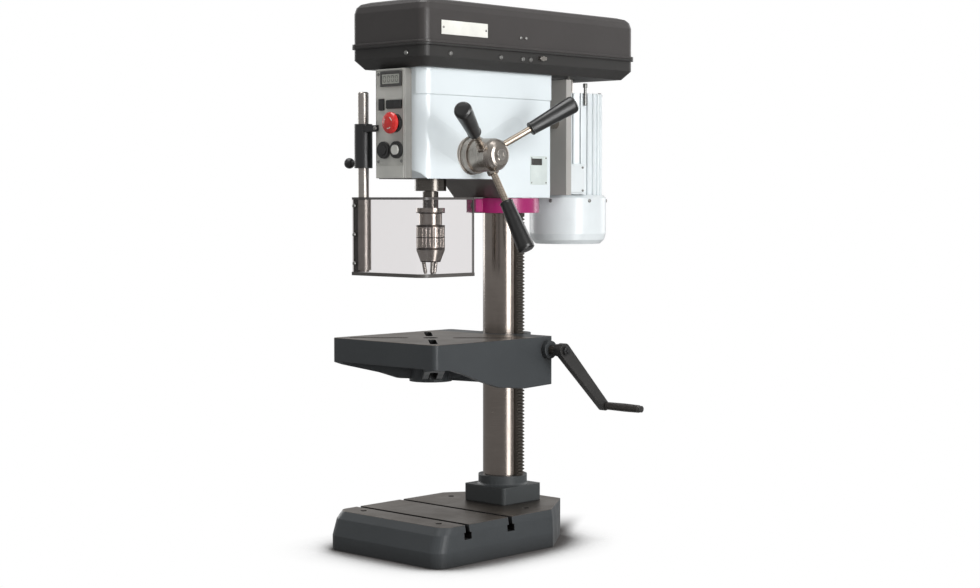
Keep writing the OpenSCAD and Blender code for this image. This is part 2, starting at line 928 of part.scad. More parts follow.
module table_arm(reach) {
  wide = table_slot + 2 * arm_rim;
  translate([0, wide / 2, 0]) rotate([90, 0, 0]) linear_extrude(wide) polygon([
    [0, table_boss_low + arm_rise],
    [table_boss_d / 2, table_boss_low + arm_rise],
    [reach, table_z - table_edge],
    [reach, table_z - eps],
    [0, table_z - eps]
  ]);
}
module table_casting() {
  arm_y = throat - table_front;
  arm_x = table_w / 2;
  arm_turn = atan2(-arm_y, arm_x);
  arm_len = sqrt(arm_x * arm_x + arm_y * arm_y);
  slot_in = table_boss_d / 2 + slot_root;
  slot_out = arm_len - slot_end;
  color([0.3, 0.31, 0.32])
  difference() {
    union() {
      intersection() {
        translate([0, 0, table_low - eps]) linear_extrude(table_deep + eps)
          rounded2d(-table_w / 2, table_w / 2, -table_front, -table_back, table_corner);
        union() {
          translate([-table_w, -table_front, table_z - table_plate])
            cube([2 * table_w, table_front, table_plate]);
          translate([-table_w, -table_front, table_z - table_edge])
            cube([2 * table_w, table_wall, table_edge]);
          translate([-table_w, -table_back - table_wall, table_low + table_lip])
            cube([2 * table_w, table_wall, table_deep]);
          for (s = [-1, 1])
            translate([s * (table_w - table_wall) / 2, 0, 0]) rotate([90, 0, 90])
              translate([0, 0, -table_wall / 2]) linear_extrude(table_wall) table_side2d();
          for (a = [arm_turn, 180 - arm_turn, -arm_turn, 180 + arm_turn])
            spindle_at(0) rotate([0, 0, a]) table_arm(arm_len);
        }
      }
      spindle_at(table_boss_low)
        cylinder(r = table_boss_d / 2, h = table_z - table_boss_low);
      translate([-rib_w / 2, 0, 0]) rotate([90, 0, 90]) linear_extrude(rib_w) polygon([
        [spindle_y, table_boss_low + rib_rise],
        [-sleeve_d / 2 + rib_bite, table_low],
        [-sleeve_d / 2 + rib_bite, table_z - eps],
        [spindle_y, table_z - eps]
      ]);
      translate([0, 0, table_low]) cylinder(r = sleeve_d / 2, h = table_deep);
      translate([lift_x - block_in, -lift_front, lift_z - wheel_r - block_wall])
        cube([block_in + wheel_r + block_wall, lift_front + lift_rear, table_z - lift_z + wheel_r]);
      worm_at() rod_x_axis(crank_d / 2 + shaft_boss, lift_x, shaft_boss_x);
      translate([-ear_w, sleeve_d / 2 - ear_out, clamp_z - ear_h / 2])
        cube([2 * ear_w, 3 * ear_out, ear_h]);
    }
    translate([0, 0, table_low - eps]) cylinder(r = column_r + run_gap, h = table_deep + 2 * eps);
    translate([0, -rack_w / 2 - free_gap, table_low - eps])
      cube([lift_pitch_x + rack_add + free_gap, rack_w + 2 * free_gap, table_deep + 2 * eps]);
    translate([-slit_w / 2, 0, table_low - eps]) cube([slit_w, sleeve_d, table_deep + 2 * eps]);
    translate([0, clamp_y, clamp_z]) rod_x_axis(clamp_d / 2 + run_gap, -2 * ear_w, 2 * ear_w);
    translate([lift_x, 0, lift_z]) {
      rod_y_axis(lift_shaft_d / 2 + run_gap, -lift_front - eps, lift_rear + eps);
      rod_y_axis(lift_r + gear_add + gear_room, -lift_w / 2 - gear_room, lift_w / 2 + gear_room);
      translate([0, -worm_y, 0])
        rod_y_axis(wheel_mean + wheel_cut + gear_room, -wheel_w / 2 - gear_room, wheel_w / 2 + gear_room);
    }
    worm_at() {
      rod_x_axis(crank_d / 2 + run_gap, 0, shaft_boss_x + eps);
      rod_x_axis(worm_r + worm_depth + gear_room, worm_x - gear_room, worm_x + worm_len + gear_room);
    }
    spindle_at(table_boss_low - eps)
      cylinder(r = table_hole_d / 2, h = table_z - table_boss_low + 2 * eps);
    for (a = [arm_turn, 180 - arm_turn, -arm_turn, 180 + arm_turn])
      spindle_at(table_boss_low - eps) rotate([0, 0, a]) {
        translate([slot_in, -table_slot / 2, 0]) cube([slot_out - slot_in, table_slot, table_deep]);
        for (x = [slot_in, slot_out])
          translate([x, 0, 0]) cylinder(r = table_slot / 2, h = table_deep);
      }
  }
}
module table_lock() {
  color([0.16, 0.16, 0.17])
  translate([0, clamp_y, clamp_z]) {
    rod_x_axis(clamp_d / 2, -ear_w - lock_hub / 2, ear_w + lock_nut - 2);
    rod_x_axis(clamp_d * 0.85, ear_w + free_gap, ear_w + lock_nut);
    difference() {
      union() {
        rod_x_axis(clamp_d * 0.9, -ear_w - lock_hub, -ear_w - free_gap);
        translate([-ear_w - lock_hub * 0.55, 0, 0]) rotate([-lever_tilt, 0, 0]) {
          cylinder(r = lever_r, h = lever_len);
          translate([0, 0, lever_len]) sphere(r = lever_ball_r);
        }
      }
      rod_x_axis(clamp_d / 2, -ear_w - lock_hub / 2, ear_w);
    }
  }
}
module lift_gear() {
  color([0.5, 0.5, 0.5])
  translate([lift_x, 0, lift_z]) {
    rod_y_axis(lift_shaft_d / 2, -lift_front, lift_rear);
    translate([0, lift_w / 2, 0]) rotate([90, 0, 0])
      linear_extrude(lift_w) polygon(gear_points(lift_teeth, lift_r));
    translate([0, -worm_y + wheel_w / 2, 0]) rotate([90, 0, 0])
      linear_extrude(wheel_w) polygon(wheel_points(wheel_teeth, wheel_mean, wheel_cut));
  }
}
module crank_shaft() {
  turns = worm_len / tooth_pitch;
  color([0.5, 0.5, 0.5])
  worm_at() {
    rod_x_axis(crank_d / 2, shaft_in, worm_x + worm_depth);
    rod_x_axis(crank_d / 2, worm_x + worm_len - worm_depth, crank_out + crank_t);
    translate([worm_x, 0, 0]) rotate([0, 90, 0])
      linear_extrude(height = worm_len, twist = -360 * turns, slices = 40)
        rotate(180 - 180 * turns) translate([worm_depth, 0]) circle(r = worm_r, $fn = 18);
  }
}
module crank_place() {
  translate([crank_out, -worm_y, crank_z]) rotate([90, 0, 90]) rotate(-crank_turn) children();
}
module crank_arm() {
  color([0.14, 0.14, 0.15])
  difference() {
    crank_place() {
      linear_extrude(crank_t) link2d(crank_len, crank_hub_d / 2, crank_end_d / 2);
      translate([0, 0, -crank_boss]) cylinder(r = crank_hub_d / 2 - 2, h = crank_boss + crank_t / 2);
      translate([crank_len, 0, crank_t / 2])
        cylinder(r = crank_pin_r, h = crank_t / 2 + crank_grip_len + 2 * pin_cap - eps);
      translate([crank_len, 0, crank_t + crank_grip_len + eps + free_gap])
        cylinder(r = pin_cap_r, h = pin_cap);
    }
    worm_at() rod_x_axis(crank_d / 2, 0, crank_out + crank_t + eps);
  }
}
module crank_grip() {
  color([0.12, 0.12, 0.12])
  crank_place() translate([crank_len, 0, crank_t + eps]) rotate_extrude() polygon([
    [crank_pin_r + run_gap, 0],
    [crank_grip_d / 2 - 1.5, 0],
    [crank_grip_d / 2 - 0.5, 3],
    [crank_grip_d / 2, crank_grip_len * 0.55],
    [crank_grip_d / 2 - 0.6, crank_grip_len - 4],
    [crank_grip_d / 2 - 2, crank_grip_len],
    [crank_pin_r + run_gap, crank_grip_len]
  ]);
}

module head_plan2d(grow) {
  half = head_w / 2 + grow;
  round_r = head_corner + grow;
  difference() {
    translate([-half, -head_front - grow]) square([2 * half, head_front + head_rear + 2 * grow]);
    for (s = [-1, 1])
      difference() {
        translate([s * half - round_r, -head_front - grow - round_r]) square(2 * round_r);
        translate([s * (half - round_r), -head_front - grow + round_r]) circle(r = round_r);
        translate([s * half - round_r * (1 + s), -head_front - grow + round_r]) square(2 * round_r);
        translate([s * (half - 1.5 * round_r) - round_r / 2, -head_front - grow - round_r])
          square([round_r, 3 * round_r]);
      }
  }
}
module head_side2d(grow) {
  polygon([
    [-head_front - grow, head_z + chin],
    [-head_front - grow + chin, head_z],
    [-neck_front - neck_h, head_z],
    [-neck_front, neck_z],
    [head_rear + grow, neck_z],
    [head_rear + grow, head_top],
    [-head_front - grow, head_top]
  ]);
}
module head_body(grow) {
  intersection() {
    translate([0, 0, neck_z]) linear_extrude(head_top - neck_z) head_plan2d(grow);
    rotate([90, 0, 90]) translate([0, 0, -head_w]) linear_extrude(2 * head_w) head_side2d(grow);
  }
}
module valley(y, z, turn, len) {
  for (s = [-1, 1])
    translate([s * (head_w / 2 + valley_r - valley_deep), y, z]) rotate([turn, 0, 0]) {
      rod_y_axis(valley_r, 0, len);
      translate([0, len, 0]) sphere(r = valley_r);
    }
}
module head_casting() {
  lean = 25;
  color([0.93, 0.95, 0.96])
  difference() {
    union() {
      difference() {
        head_body(0);
        valley(feed_y, feed_z - 6, lean, throat * 0.66);
        valley_front(lean);
      }
      intersection() {
        head_body(band_out);
        translate([-head_w, -head_front, head_top - band_h]) cube([2 * head_w, 2 * head_front, band_h]);
      }
      feed_at() rod_x_axis(depth_d / 2 + 2, head_w / 2 - head_wall, boss_x);
      feed_at() rod_x_axis(cup_d / 2 + 2, -boss_x, -head_w / 2 + head_wall);
    }
    difference() {
      translate([0, 0, head_z + head_wall]) linear_extrude(head_h) head_plan2d(-head_wall);
      head_posts();
    }
    spindle_at(head_z - eps) cylinder(r = quill_d / 2 + run_gap, h = barrel_top - head_z + eps);
    spindle_at(barrel_top - eps) cylinder(r = sleeve_bearing_d / 2 + run_gap, h = head_h);
    translate([0, 0, neck_z - eps]) cylinder(r = column_r + run_gap, h = column_socket + 8);
    feed_at() {
      rod_x_axis(feed_d / 2 + run_gap, -boss_x - eps, 0);
      rod_x_axis(bush_d / 2 + run_gap, -feed_room, boss_x + eps);
    }
    for (s = [-1, 1])
      translate([s * rod_x, 0, rod_z]) rod_y_axis(rod_d / 2 + run_gap, 0, head_rear + band_out + eps);
    for (y = [-grub_y, grub_y])
      translate([0, y, grub_z]) rod_x_axis(grub_r + run_gap, -head_w / 2 - eps, 0);
    translate([-box_w / 2 + 2 * box_wall, -head_front - eps, box_z + box_chin])
      cube([box_w - 4 * box_wall, head_wall + 2 * eps, box_h - 2 * box_chin]);
  }
}
module valley_front(lean) {
  mirror_y = 2 * feed_y;
  translate([0, mirror_y, 0]) mirror([0, 1, 0]) valley(feed_y, feed_z - 4, lean, throat);
}
module head_posts() {
  spindle_at(head_z) cylinder(r = quill_d / 2 + barrel_wall, h = barrel_top - head_z + eps);
  spindle_at(head_z) cylinder(r = sleeve_bearing_d / 2 + barrel_wall, h = head_h);
  translate([0, 0, head_z]) cylinder(r = column_r + barrel_wall, h = column_top - head_z + 12);
  feed_at() rod_x_axis(bush_d / 2 + head_wall, -head_w, head_w);
  for (s = [-1, 1])
    translate([s * rod_x, 0, rod_z]) rod_y_axis(rod_d / 2 + 6, 0, head_rear);
}
module quill() {
  first = -ceil(feed_r / 2 / tooth_pitch);
  last = floor((stroke + feed_r) / tooth_pitch);
  color([0.7, 0.7, 0.71])
  difference() {
    spindle_at(quill_z) cylinder(r = quill_d / 2, h = quill_len);
    spindle_at(quill_z - eps) cylinder(r = spindle_d / 2 + 2 * free_gap, h = quill_len + 2 * eps);
    spindle_at(bearing_low) cylinder(r = quill_bearing_d / 2 + run_gap, h = bearing_w);
    spindle_at(bearing_high)
      cylinder(r = quill_bearing_d / 2 + run_gap, h = quill_top - bearing_high + eps);
    translate([-quill_rack_w / 2, spindle_y + quill_pitch + rack_add, feed_z + (first - 1) * tooth_pitch])
      cube([quill_rack_w, quill_d, (last - first + 2) * tooth_pitch]);
    translate([-quill_rack_w / 2, spindle_y + quill_pitch, feed_z]) rotate([90, 0, 90])
      linear_extrude(quill_rack_w) polygon(comb_points(first, last));
  }
}
module ring(r_out, r_in, z0, h) {
  difference() {
    translate([0, 0, z0]) cylinder(r = r_out, h = h);
    translate([0, 0, z0 - eps]) cylinder(r = r_in, h = h + 2 * eps);
  }
}
module quill_bearings() {
  color([0.75, 0.75, 0.76])
  spindle_at(0)
    for (z = [bearing_low, bearing_high])
      ring(quill_bearing_d / 2, spindle_d / 2 + run_gap, z, bearing_w);
}
module spline2d(core, key, slack) {
  circle(r = core / 2 + slack);
  intersection() {
    circle(r = key / 2 + slack);
    for (a = [0, 60, 120])
      rotate(a) translate([-key, -(spline_w + slack) / 2]) square([2 * key, spline_w + slack]);
  }
}
module spindle() {
  color([0.68, 0.68, 0.69])
  spindle_at(0) {
    translate([0, 0, chuck_top - arbor_len]) cylinder(r = arbor_d / 2, h = arbor_len + eps);
    translate([0, 0, chuck_top]) cylinder(r = nose_d / 2, h = nose_len);
    translate([0, 0, nose_top - eps]) cylinder(r = spindle_d / 2, h = shoulder_z - nose_top + eps);
    translate([0, 0, shoulder_z - eps]) linear_extrude(spindle_top - shoulder_z + eps)
      spline2d(spline_core_d, spline_key_d, 0);
  }
}
module jaw_place(turn) {
  spindle_at(jaw_z) rotate([0, 0, turn])
    translate([jaw_tip_r, 0, 0]) rotate([0, jaw_tilt, 0]) children();
}
module chuck_body() {
  color([0.5, 0.5, 0.51])
  difference() {
    spindle_at(0) {
      translate([0, 0, chuck_top - chuck_flange_h]) cylinder(r = chuck_d / 2, h = chuck_flange_h);
      translate([0, 0, chuck_ring_z]) cylinder(r = chuck_ring_d / 2, h = chuck_ring_h + eps);
      translate([0, 0, chuck_sleeve_z - eps])
        cylinder(r = chuck_core_d / 2, h = chuck_sleeve_h + 2 * eps);
      translate([0, 0, chuck_low]) cylinder(r1 = chuck_nose_d / 2, r2 = chuck_d / 2, h = chuck_nose_h);
    }
    spindle_at(chuck_top - arbor_len) cylinder(r = arbor_d / 2, h = arbor_len + eps);
    for (a = [90, 210, 330])
      jaw_place(a) translate([0, 0, jaw_out / 2]) cylinder(r = jaw_d / 2 + run_gap, h = jaw_len);
  }
}
module chuck_sleeve() {
  color([0.24, 0.24, 0.25])
  spindle_at(0) difference() {
    translate([0, 0, chuck_sleeve_z + free_gap])
      cylinder(r = chuck_d / 2, h = chuck_sleeve_h - 2 * free_gap);
    translate([0, 0, chuck_sleeve_z - eps])
      cylinder(r = chuck_core_d / 2 + run_gap, h = chuck_sleeve_h + 2 * eps);
    for (i = [0 : flutes - 1])
      rotate([0, 0, i * 360 / flutes])
        translate([chuck_d / 2 + flute_r / 2, 0, chuck_sleeve_z + flute_end])
        cylinder(r = flute_r, h = chuck_sleeve_h - 2 * flute_end, $fn = 16);
  }
}
module chuck_jaw(turn) {
  color([0.6, 0.6, 0.61])
  jaw_place(turn) {
    translate([0, 0, jaw_point]) cylinder(r = jaw_d / 2, h = jaw_len - jaw_point);
    cylinder(r1 = jaw_d * 0.3, r2 = jaw_d / 2, h = jaw_point);
  }
}
module chuck_jaw_a() {
  chuck_jaw(90);
}
module chuck_jaw_b() {
  chuck_jaw(210);
}
module chuck_jaw_c() {
  chuck_jaw(330);
}

module feed_shaft() {
  color([0.6, 0.6, 0.61])
  feed_at() {
    rod_x_axis(feed_d / 2, spring_x, hub_x + hub_len - hub_cap);
    translate([-pinion_w / 2, 0, 0]) rotate([90, 0, 90])
      linear_extrude(pinion_w) polygon(gear_points(feed_teeth, feed_r));
  }
}
module feed_bush() {
  color([0.6, 0.5, 0.28])
  feed_at() difference() {
    rod_x_axis(bush_d / 2, bush_in, boss_x);
    rod_x_axis(feed_d / 2 + run_gap, 0, boss_x + eps);
  }
}
module spoke_place(i) {
  translate([spoke_x, feed_y, feed_z]) rotate([spoke_turn + i * 120, 0, 0])
    rotate([0, 0, -spoke_tilt]) rotate([-90, 0, 0]) children();
}
module feed_hub() {
  color([0.58, 0.58, 0.57])
  difference() {
    union() {
      translate([hub_x, feed_y, feed_z]) rotate([0, 90, 0]) rotate_extrude() polygon([
        [0, 0],
        [hub_d / 2, 0],
        [hub_d / 2, hub_len * 0.7],
        [hub_d / 2 - 2, hub_len * 0.84],
        [hub_d / 2 - 7, hub_len * 0.96],
        [hub_d / 2 - 11, hub_len],
        [0, hub_len]
      ]);
      feed_at() rod_x_axis(spigot_d / 2, depth_x, hub_x + eps);
    }
    feed_at() rod_x_axis(feed_d / 2, 0, hub_x + hub_len - hub_cap);
    for (i = [0 : 2])
      spoke_place(i) translate([0, 0, spoke_root]) cylinder(r = spoke_d / 2, h = hub_d);
  }
}
module feed_spokes() {
  color([0.75, 0.75, 0.76])
  for (i = [0 : 2])
    spoke_place(i) translate([0, 0, spoke_root])
      cylinder(r = spoke_d / 2, h = spoke_len - grip_len * 0.7 - spoke_root);
}
module feed_grips() {
  start = spoke_len - grip_len;
  color([0.13, 0.13, 0.13])
  for (i = [0 : 2])
    spoke_place(i) difference() {
      translate([0, 0, start]) rotate_extrude() polygon([
        [0, 0],
        [grip_inner_d / 2 - 1.5, 0],
        [grip_inner_d / 2, 2],
        [grip_outer_d / 2, grip_len * 0.93],
        [grip_outer_d / 2 - 1, grip_len * 0.97],
        [grip_outer_d / 2 - 4, grip_len * 0.995],
        [grip_outer_d / 2 - 9, grip_len],
        [0, grip_len]
      ]);
      translate([0, 0, start - eps]) cylinder(r = spoke_d / 2, h = grip_len * 0.3 + eps);
    }
}
module depth_ring() {
  color([0.62, 0.62, 0.61])
  feed_at() difference() {
    rod_x_axis(depth_d / 2, depth_x, depth_x + depth_w);
    rod_x_axis(spigot_d / 2 + run_gap, depth_x - eps, depth_x + depth_w + eps);
  }
}
module spring_cup() {
  color([0.2, 0.2, 0.21])
  feed_at() difference() {
    rod_x_axis(cup_d / 2, cup_x, -boss_x);
    rod_x_axis(cup_d / 2 - cup_wall, cup_x + cup_wall, -boss_x + eps);
  }
}
module return_spring() {
  color([0.4, 0.42, 0.45])
  translate([spring_x, feed_y, feed_z]) rotate([90, 0, 90])
    linear_extrude(cup_len - cup_wall - 4) polygon(spiral_points(spring_turns));
}

module control_box() {
  half = box_w / 2;
  color([0.66, 0.66, 0.64])
  difference() {
    translate([0, 0, box_z]) linear_extrude(box_h) difference() {
      rounded2d(-half, half, box_y, -head_front + box_round, box_round);
      translate([-half - eps, -head_front]) square([box_w + 2 * eps, 2 * box_round]);
    }
    translate([-half + box_wall, panel_back, box_z + box_wall])
      cube([box_w - 2 * box_wall, box_depth, box_h - 2 * box_wall]);
    translate([-half + panel_rim, box_y - eps, box_z + box_chin])
      cube([box_w - 2 * panel_rim, panel_recess + eps, box_h - box_chin - panel_rim]);
    translate([estop_x, 0, estop_z])
      rod_y_axis(estop_stem_d / 2 + free_gap, box_y - eps, panel_back + eps);
    for (x = [start_x, stop_x])
      translate([x, 0, button_z]) rod_y_axis(cap_d / 2 + free_gap, box_y - eps, panel_back + eps);
    translate([key_x - key_w / 2 - free_gap, box_y - eps, keys_z - key_h / 2 - free_gap])
      cube([key_w + 2 * free_gap, box_wall + 2 * eps, key_h + 2 * free_gap]);
    translate([rocker_x - rocker_w / 2 - rocker_room, box_y - eps, keys_z - rocker_h / 2 - free_gap])
      cube([rocker_w + 2 * rocker_room, box_wall + 2 * eps, rocker_h + 2 * free_gap]);
  }
  color([0.66, 0.66, 0.64])
  for (s = [-1, 1])
    difference() {
      translate([rocker_x - lug, panel_back, keys_z + s * (rocker_h + 2 * free_gap + lug) / 2 - lug / 2])
        cube([2 * lug, 2 * lug - eps, lug]);
      translate([rocker_x, rocker_pin_y, keys_z - rocker_h])
        cylinder(r = rocker_pin_d / 2 + run_gap, h = 2 * rocker_h);
    }
}
module display_window() {
  color([0.1, 0.12, 0.12])
  translate([display_x - display_w / 2, panel_y - display_t, display_z - display_h / 2]) difference() {
    cube([display_w, display_t, display_h]);
    translate([display_rim, -eps, display_rim])
      cube([display_w - 2 * display_rim, eps + display_t / 3, display_h - 2 * display_rim]);
  }
}
module button_bezels() {
  color([0.09, 0.09, 0.09]) {
    for (x = [start_x, stop_x])
      translate([x, 0, button_z]) difference() {
        rod_y_axis(bezel_d / 2, panel_y - bezel_h, panel_y);
        rod_y_axis(cap_d / 2 + free_gap, panel_y - bezel_h - eps, panel_y + eps);
      }
    translate([estop_x, 0, estop_z]) difference() {
      rod_y_axis(estop_d / 2 - 2.5, panel_y - estop_seat, panel_y);
      rod_y_axis(estop_stem_d / 2 + free_gap, panel_y - estop_seat - eps, panel_y + eps);
    }
  }
}
module estop_button() {
  color([0.75, 0.07, 0.06])
  translate([estop_x, 0, estop_z]) {
    rod_y_axis(estop_stem_d / 2, panel_y - estop_out - eps, panel_back + free_gap + collar_t);
    rod_y_axis(estop_stem_d / 2 + collar_out, panel_back + free_gap, panel_back + free_gap + collar_t);
    translate([0, panel_y - estop_out, 0]) rotate([90, 0, 0]) rotate_extrude() polygon([
      [0, 0],
      [estop_d / 2 - 1.5, 0],
      [estop_d / 2, 1.5],
      [estop_d / 2, 4],
      [estop_d / 2 - 2, 6.6],
      [estop_d / 2 - 7, 8.6],
      [0, 9.4]
    ]);
  }
}
module push_button(x, front) {
  translate([x, 0, button_z]) {
    rod_y_axis(cap_d / 2, panel_y - front, panel_back + free_gap + collar_t);
    rod_y_axis(cap_d / 2 + collar_out, panel_back + free_gap, panel_back + free_gap + collar_t);
  }
}
module start_button() {
  color([0.86, 0.87, 0.84]) push_button(start_x, start_out);
}
module stop_button() {
  color([0.08, 0.08, 0.08]) push_button(stop_x, stop_out);
}
module light_switch() {
  color([0.07, 0.07, 0.07]) {
    translate([key_x - key_w / 2, panel_y - key_out, keys_z - key_h / 2])
      cube([key_w, panel_back + free_gap + collar_t - panel_y + key_out, key_h]);
    translate([key_x - key_w / 2 - key_rim, panel_back + free_gap, keys_z - key_h / 2 - key_rim])
      cube([key_w + 2 * key_rim, collar_t, key_h + 2 * key_rim]);
  }
}
module speed_switch() {
  color([0.07, 0.07, 0.07]) {
    translate([rocker_x, 0, keys_z - rocker_h / 2]) linear_extrude(rocker_h) polygon([
      [-rocker_w / 2, panel_y - rocker_out],
      [0, panel_y - rocker_out * 0.56],
      [rocker_w / 2, panel_y - rocker_out],
      [rocker_w / 2, panel_back - eps],
      [lug + eps, panel_back + lug + eps],
      [-lug - eps, panel_back + lug + eps],
      [-rocker_w / 2, panel_back - eps]
    ]);
    translate([rocker_x, rocker_pin_y, keys_z - rocker_h / 2 - lug])
      cylinder(r = rocker_pin_d / 2, h = rocker_h + 2 * lug);
  }
}

module cover_slab(inset, z0, t, r) {
  for (x = [-1, 1])
    for (y = [-cover_front + inset + r, cover_rear - inset - r])
      translate([x * (cover_w / 2 - inset - r), y, z0]) cylinder(r = r, h = t, $fn = 32);
}
module cover_plan2d(grow) {
  side = cover_w / 2 + grow;
  rounded2d(-side, side, -cover_front - grow, cover_rear + grow, cover_corner + grow);
}
module cover_lip(z0) {
  translate([0, 0, z0]) linear_extrude(lip_h) difference() {
    cover_plan2d(lip);
    cover_plan2d(-cover_wall);
  }
}
module knuckle(y0, z_arm) {
  translate([hinge_x, y0, hinge_z]) rotate([-90, 0, 0]) cylinder(r = knuckle_d / 2, h = knuckle_len);
  translate([hinge_x, y0, z_arm]) cube([knuckle_d / 2 + 2, knuckle_len, lip_h]);
}
module belt_pan() {
  color([0.28, 0.28, 0.28])
  difference() {
    union() {
      difference() {
        hull() {
          cover_slab(pan_slope, head_top, eps / 2, pan_corner);
          cover_slab(0, head_top + pan_slope, pan_h - pan_slope, cover_corner);
        }
        hull() {
          cover_slab(pan_slope + eps, head_top + cover_wall, eps / 2, pan_corner);
          cover_slab(cover_wall, head_top + pan_slope + eps, pan_h, cover_corner - cover_wall);
        }
      }
      cover_lip(seam_z - lip_h);
      for (y = hinge_ys)
        knuckle(y, seam_z - lip_h);
    }
    for (y = hinge_ys) {
      translate([hinge_x, y - eps, hinge_z]) rotate([-90, 0, 0])
        cylinder(r = hinge_pin_d / 2 + run_gap, h = knuckle_len + 2 * eps);
      translate([hinge_x - knuckle_d, y + knuckle_len, seam_z - 2 * lip_h])
        cube([knuckle_d * 1.5 + lip - 1, knuckle_len + 2 * free_gap, 4 * lip_h]);
    }
    spindle_at(head_top - eps) cylinder(r = sleeve_tube_d / 2 + cover_wall, h = cover_wall + 3 * eps);
    motor_at(head_top - eps) {
      for (y = [0, -motor_travel])
        translate([0, y, 0]) cylinder(r = motor_slot_r, h = cover_wall + 3 * eps);
      translate([-motor_slot_r, -motor_travel, 0])
        cube([2 * motor_slot_r, motor_travel, cover_wall + 3 * eps]);
    }
    translate([0, latch_y, latch_z])
      rod_x_axis(latch_r + run_gap, cover_w / 2 - 2 * cover_wall, cover_w / 2 + eps);
    pan_screw_places() translate([0, 0, -2 * cover_wall])
      cylinder(r = pan_screw_r + run_gap, h = 2 * cover_wall + eps);
  }
}
module pan_screw_places() {
  for (s = [-1, 1])
    for (y = screw_ys)
      translate([s * cover_w / 2, y, screw_z]) rotate([0, s * 90, 0]) children();
  translate([screw_front_x, -cover_front, screw_z]) rotate([90, 0, 0]) children();
}
module pan_screws() {
  color([0.3, 0.3, 0.3])
  pan_screw_places() {
    translate([0, 0, -2 * cover_wall]) cylinder(r = pan_screw_r, h = 2 * cover_wall + eps);
    rotate_extrude() polygon([
      [0, 0],
      [pan_screw_head, 0],
      [pan_screw_head * 0.8, pan_screw_head * 0.35],
      [0, pan_screw_head * 0.5]
    ]);
  }
}
module hinge_pins() {
  color([0.5, 0.5, 0.5])
  for (y = hinge_ys)
    translate([hinge_x, y + 1, hinge_z]) rotate([-90, 0, 0])
      cylinder(r = hinge_pin_d / 2, h = 2 * knuckle_len + free_gap - 2);
}
module lid_hull(inset) {
  hull() {
    cover_slab(inset, lid_z - (inset > 0 ? eps : 0), lid_h - lid_round, cover_corner - inset);
    cover_slab(inset + lid_round * 0.13, lid_top - inset - lid_round * 0.5, eps / 2, cover_corner - inset);
    cover_slab(inset + lid_round * 0.4, lid_top - inset - lid_round * 0.2, eps / 2, cover_corner - inset);
    cover_slab(inset + lid_round, lid_top - inset - eps / 2, eps / 2, cover_corner * 0.75 - inset);
  }
}
module belt_lid() {
  color([0.32, 0.31, 0.3])
  difference() {
    union() {
      difference() {
        lid_hull(0);
        lid_hull(cover_wall);
      }
      cover_lip(lid_z);
      for (y = hinge_ys)
        knuckle(y + knuckle_len + free_gap, lid_z);
    }
    for (y = hinge_ys) {
      translate([hinge_x, y, hinge_z]) rotate([-90, 0, 0])
        cylinder(r = hinge_pin_d / 2 + run_gap, h = 2 * knuckle_len + 2);
      translate([hinge_x - knuckle_d, y - free_gap, lid_z - eps])
        cube([knuckle_d * 1.5 + lip - 1, knuckle_len + 2 * free_gap, 3 * lip_h]);
    }
  }
}
module lid_latch() {
  color([0.78, 0.78, 0.77])
  translate([0, latch_y, latch_z]) {
    rod_x_axis(latch_r, cover_w / 2 - 2 * cover_wall, cover_w / 2 + lip);
    translate([cover_w / 2 + free_gap, 0, 0]) rotate([0, 90, 0]) linear_extrude(2 * latch_r) {
      circle(r = latch_r * 1.5);
      translate([-latch_r, -latch_bar]) square([2 * latch_r, 2 * latch_bar]);
    }
    translate([cover_w / 2 - 2 * cover_wall, -latch_r, -latch_bar - eps])
      cube([cover_wall - free_gap, 2 * latch_r, latch_bar + latch_r + eps]);
  }
}

module drive_sleeve() {
  color([0.55, 0.55, 0.56])
  spindle_at(0) difference() {
    union() {
      translate([0, 0, drive_z]) cylinder(r = sleeve_tube_d / 2, h = spindle_top - drive_z - 4);
      translate([0, 0, head_top + 2]) cylinder(r = sleeve_tube_d / 2 + 2, h = pulley_z - head_top - 2);
    }
    translate([0, 0, drive_z - eps]) linear_extrude(spindle_top - drive_z + eps)
      spline2d(spline_core_d, spline_key_d, free_gap);
  }
}
module sleeve_bearings() {
  color([0.75, 0.75, 0.76])
  spindle_at(0)
    for (z = [barrel_top, head_top - sleeve_bearing_w - 1])
      ring(sleeve_bearing_d / 2, sleeve_tube_d / 2 + run_gap, z, sleeve_bearing_w);
}
module step2d(r, z0) {
  polygon([
    [0, z0],
    [r, z0],
    [r, z0 + (step_h - groove_w) / 2],
    [r - groove_deep, z0 + (step_h - groove_floor) / 2],
    [r - groove_deep, z0 + (step_h + groove_floor) / 2],
    [r, z0 + (step_h + groove_w) / 2],
    [r, z0 + step_h],
    [0, z0 + step_h]
  ]);
}
module spindle_pulley() {
  color([0.6, 0.61, 0.62])
  spindle_at(0) difference() {
    for (i = [0 : pulley_steps - 1])
      rotate_extrude() step2d(pulley_big - pulley_grow * i, pulley_z + i * step_h);
    translate([0, 0, pulley_z - eps]) cylinder(r = sleeve_tube_d / 2, h = pulley_h + 2 * eps);
  }
}
module motor_pulley() {
  color([0.6, 0.61, 0.62])
  motor_at(0) difference() {
    for (i = [0 : pulley_steps - 1])
      rotate_extrude() step2d(pulley_small + pulley_grow * i, pulley_z + i * step_h);
    translate([0, 0, pulley_z - eps]) cylinder(r = motor_shaft_d / 2, h = pulley_h + 2 * eps);
  }
}
module drive_belt() {
  reach = throat + motor_reach;
  color([0.08, 0.08, 0.08])
  spindle_at(belt_z - belt_w / 2) rotate([0, 0, 90]) linear_extrude(belt_w) difference() {
    polygon(loop_points(reach, belt_out_s, belt_out_m));
    polygon(loop_points(reach, belt_out_s - belt_t, belt_out_m - belt_t));
  }
}

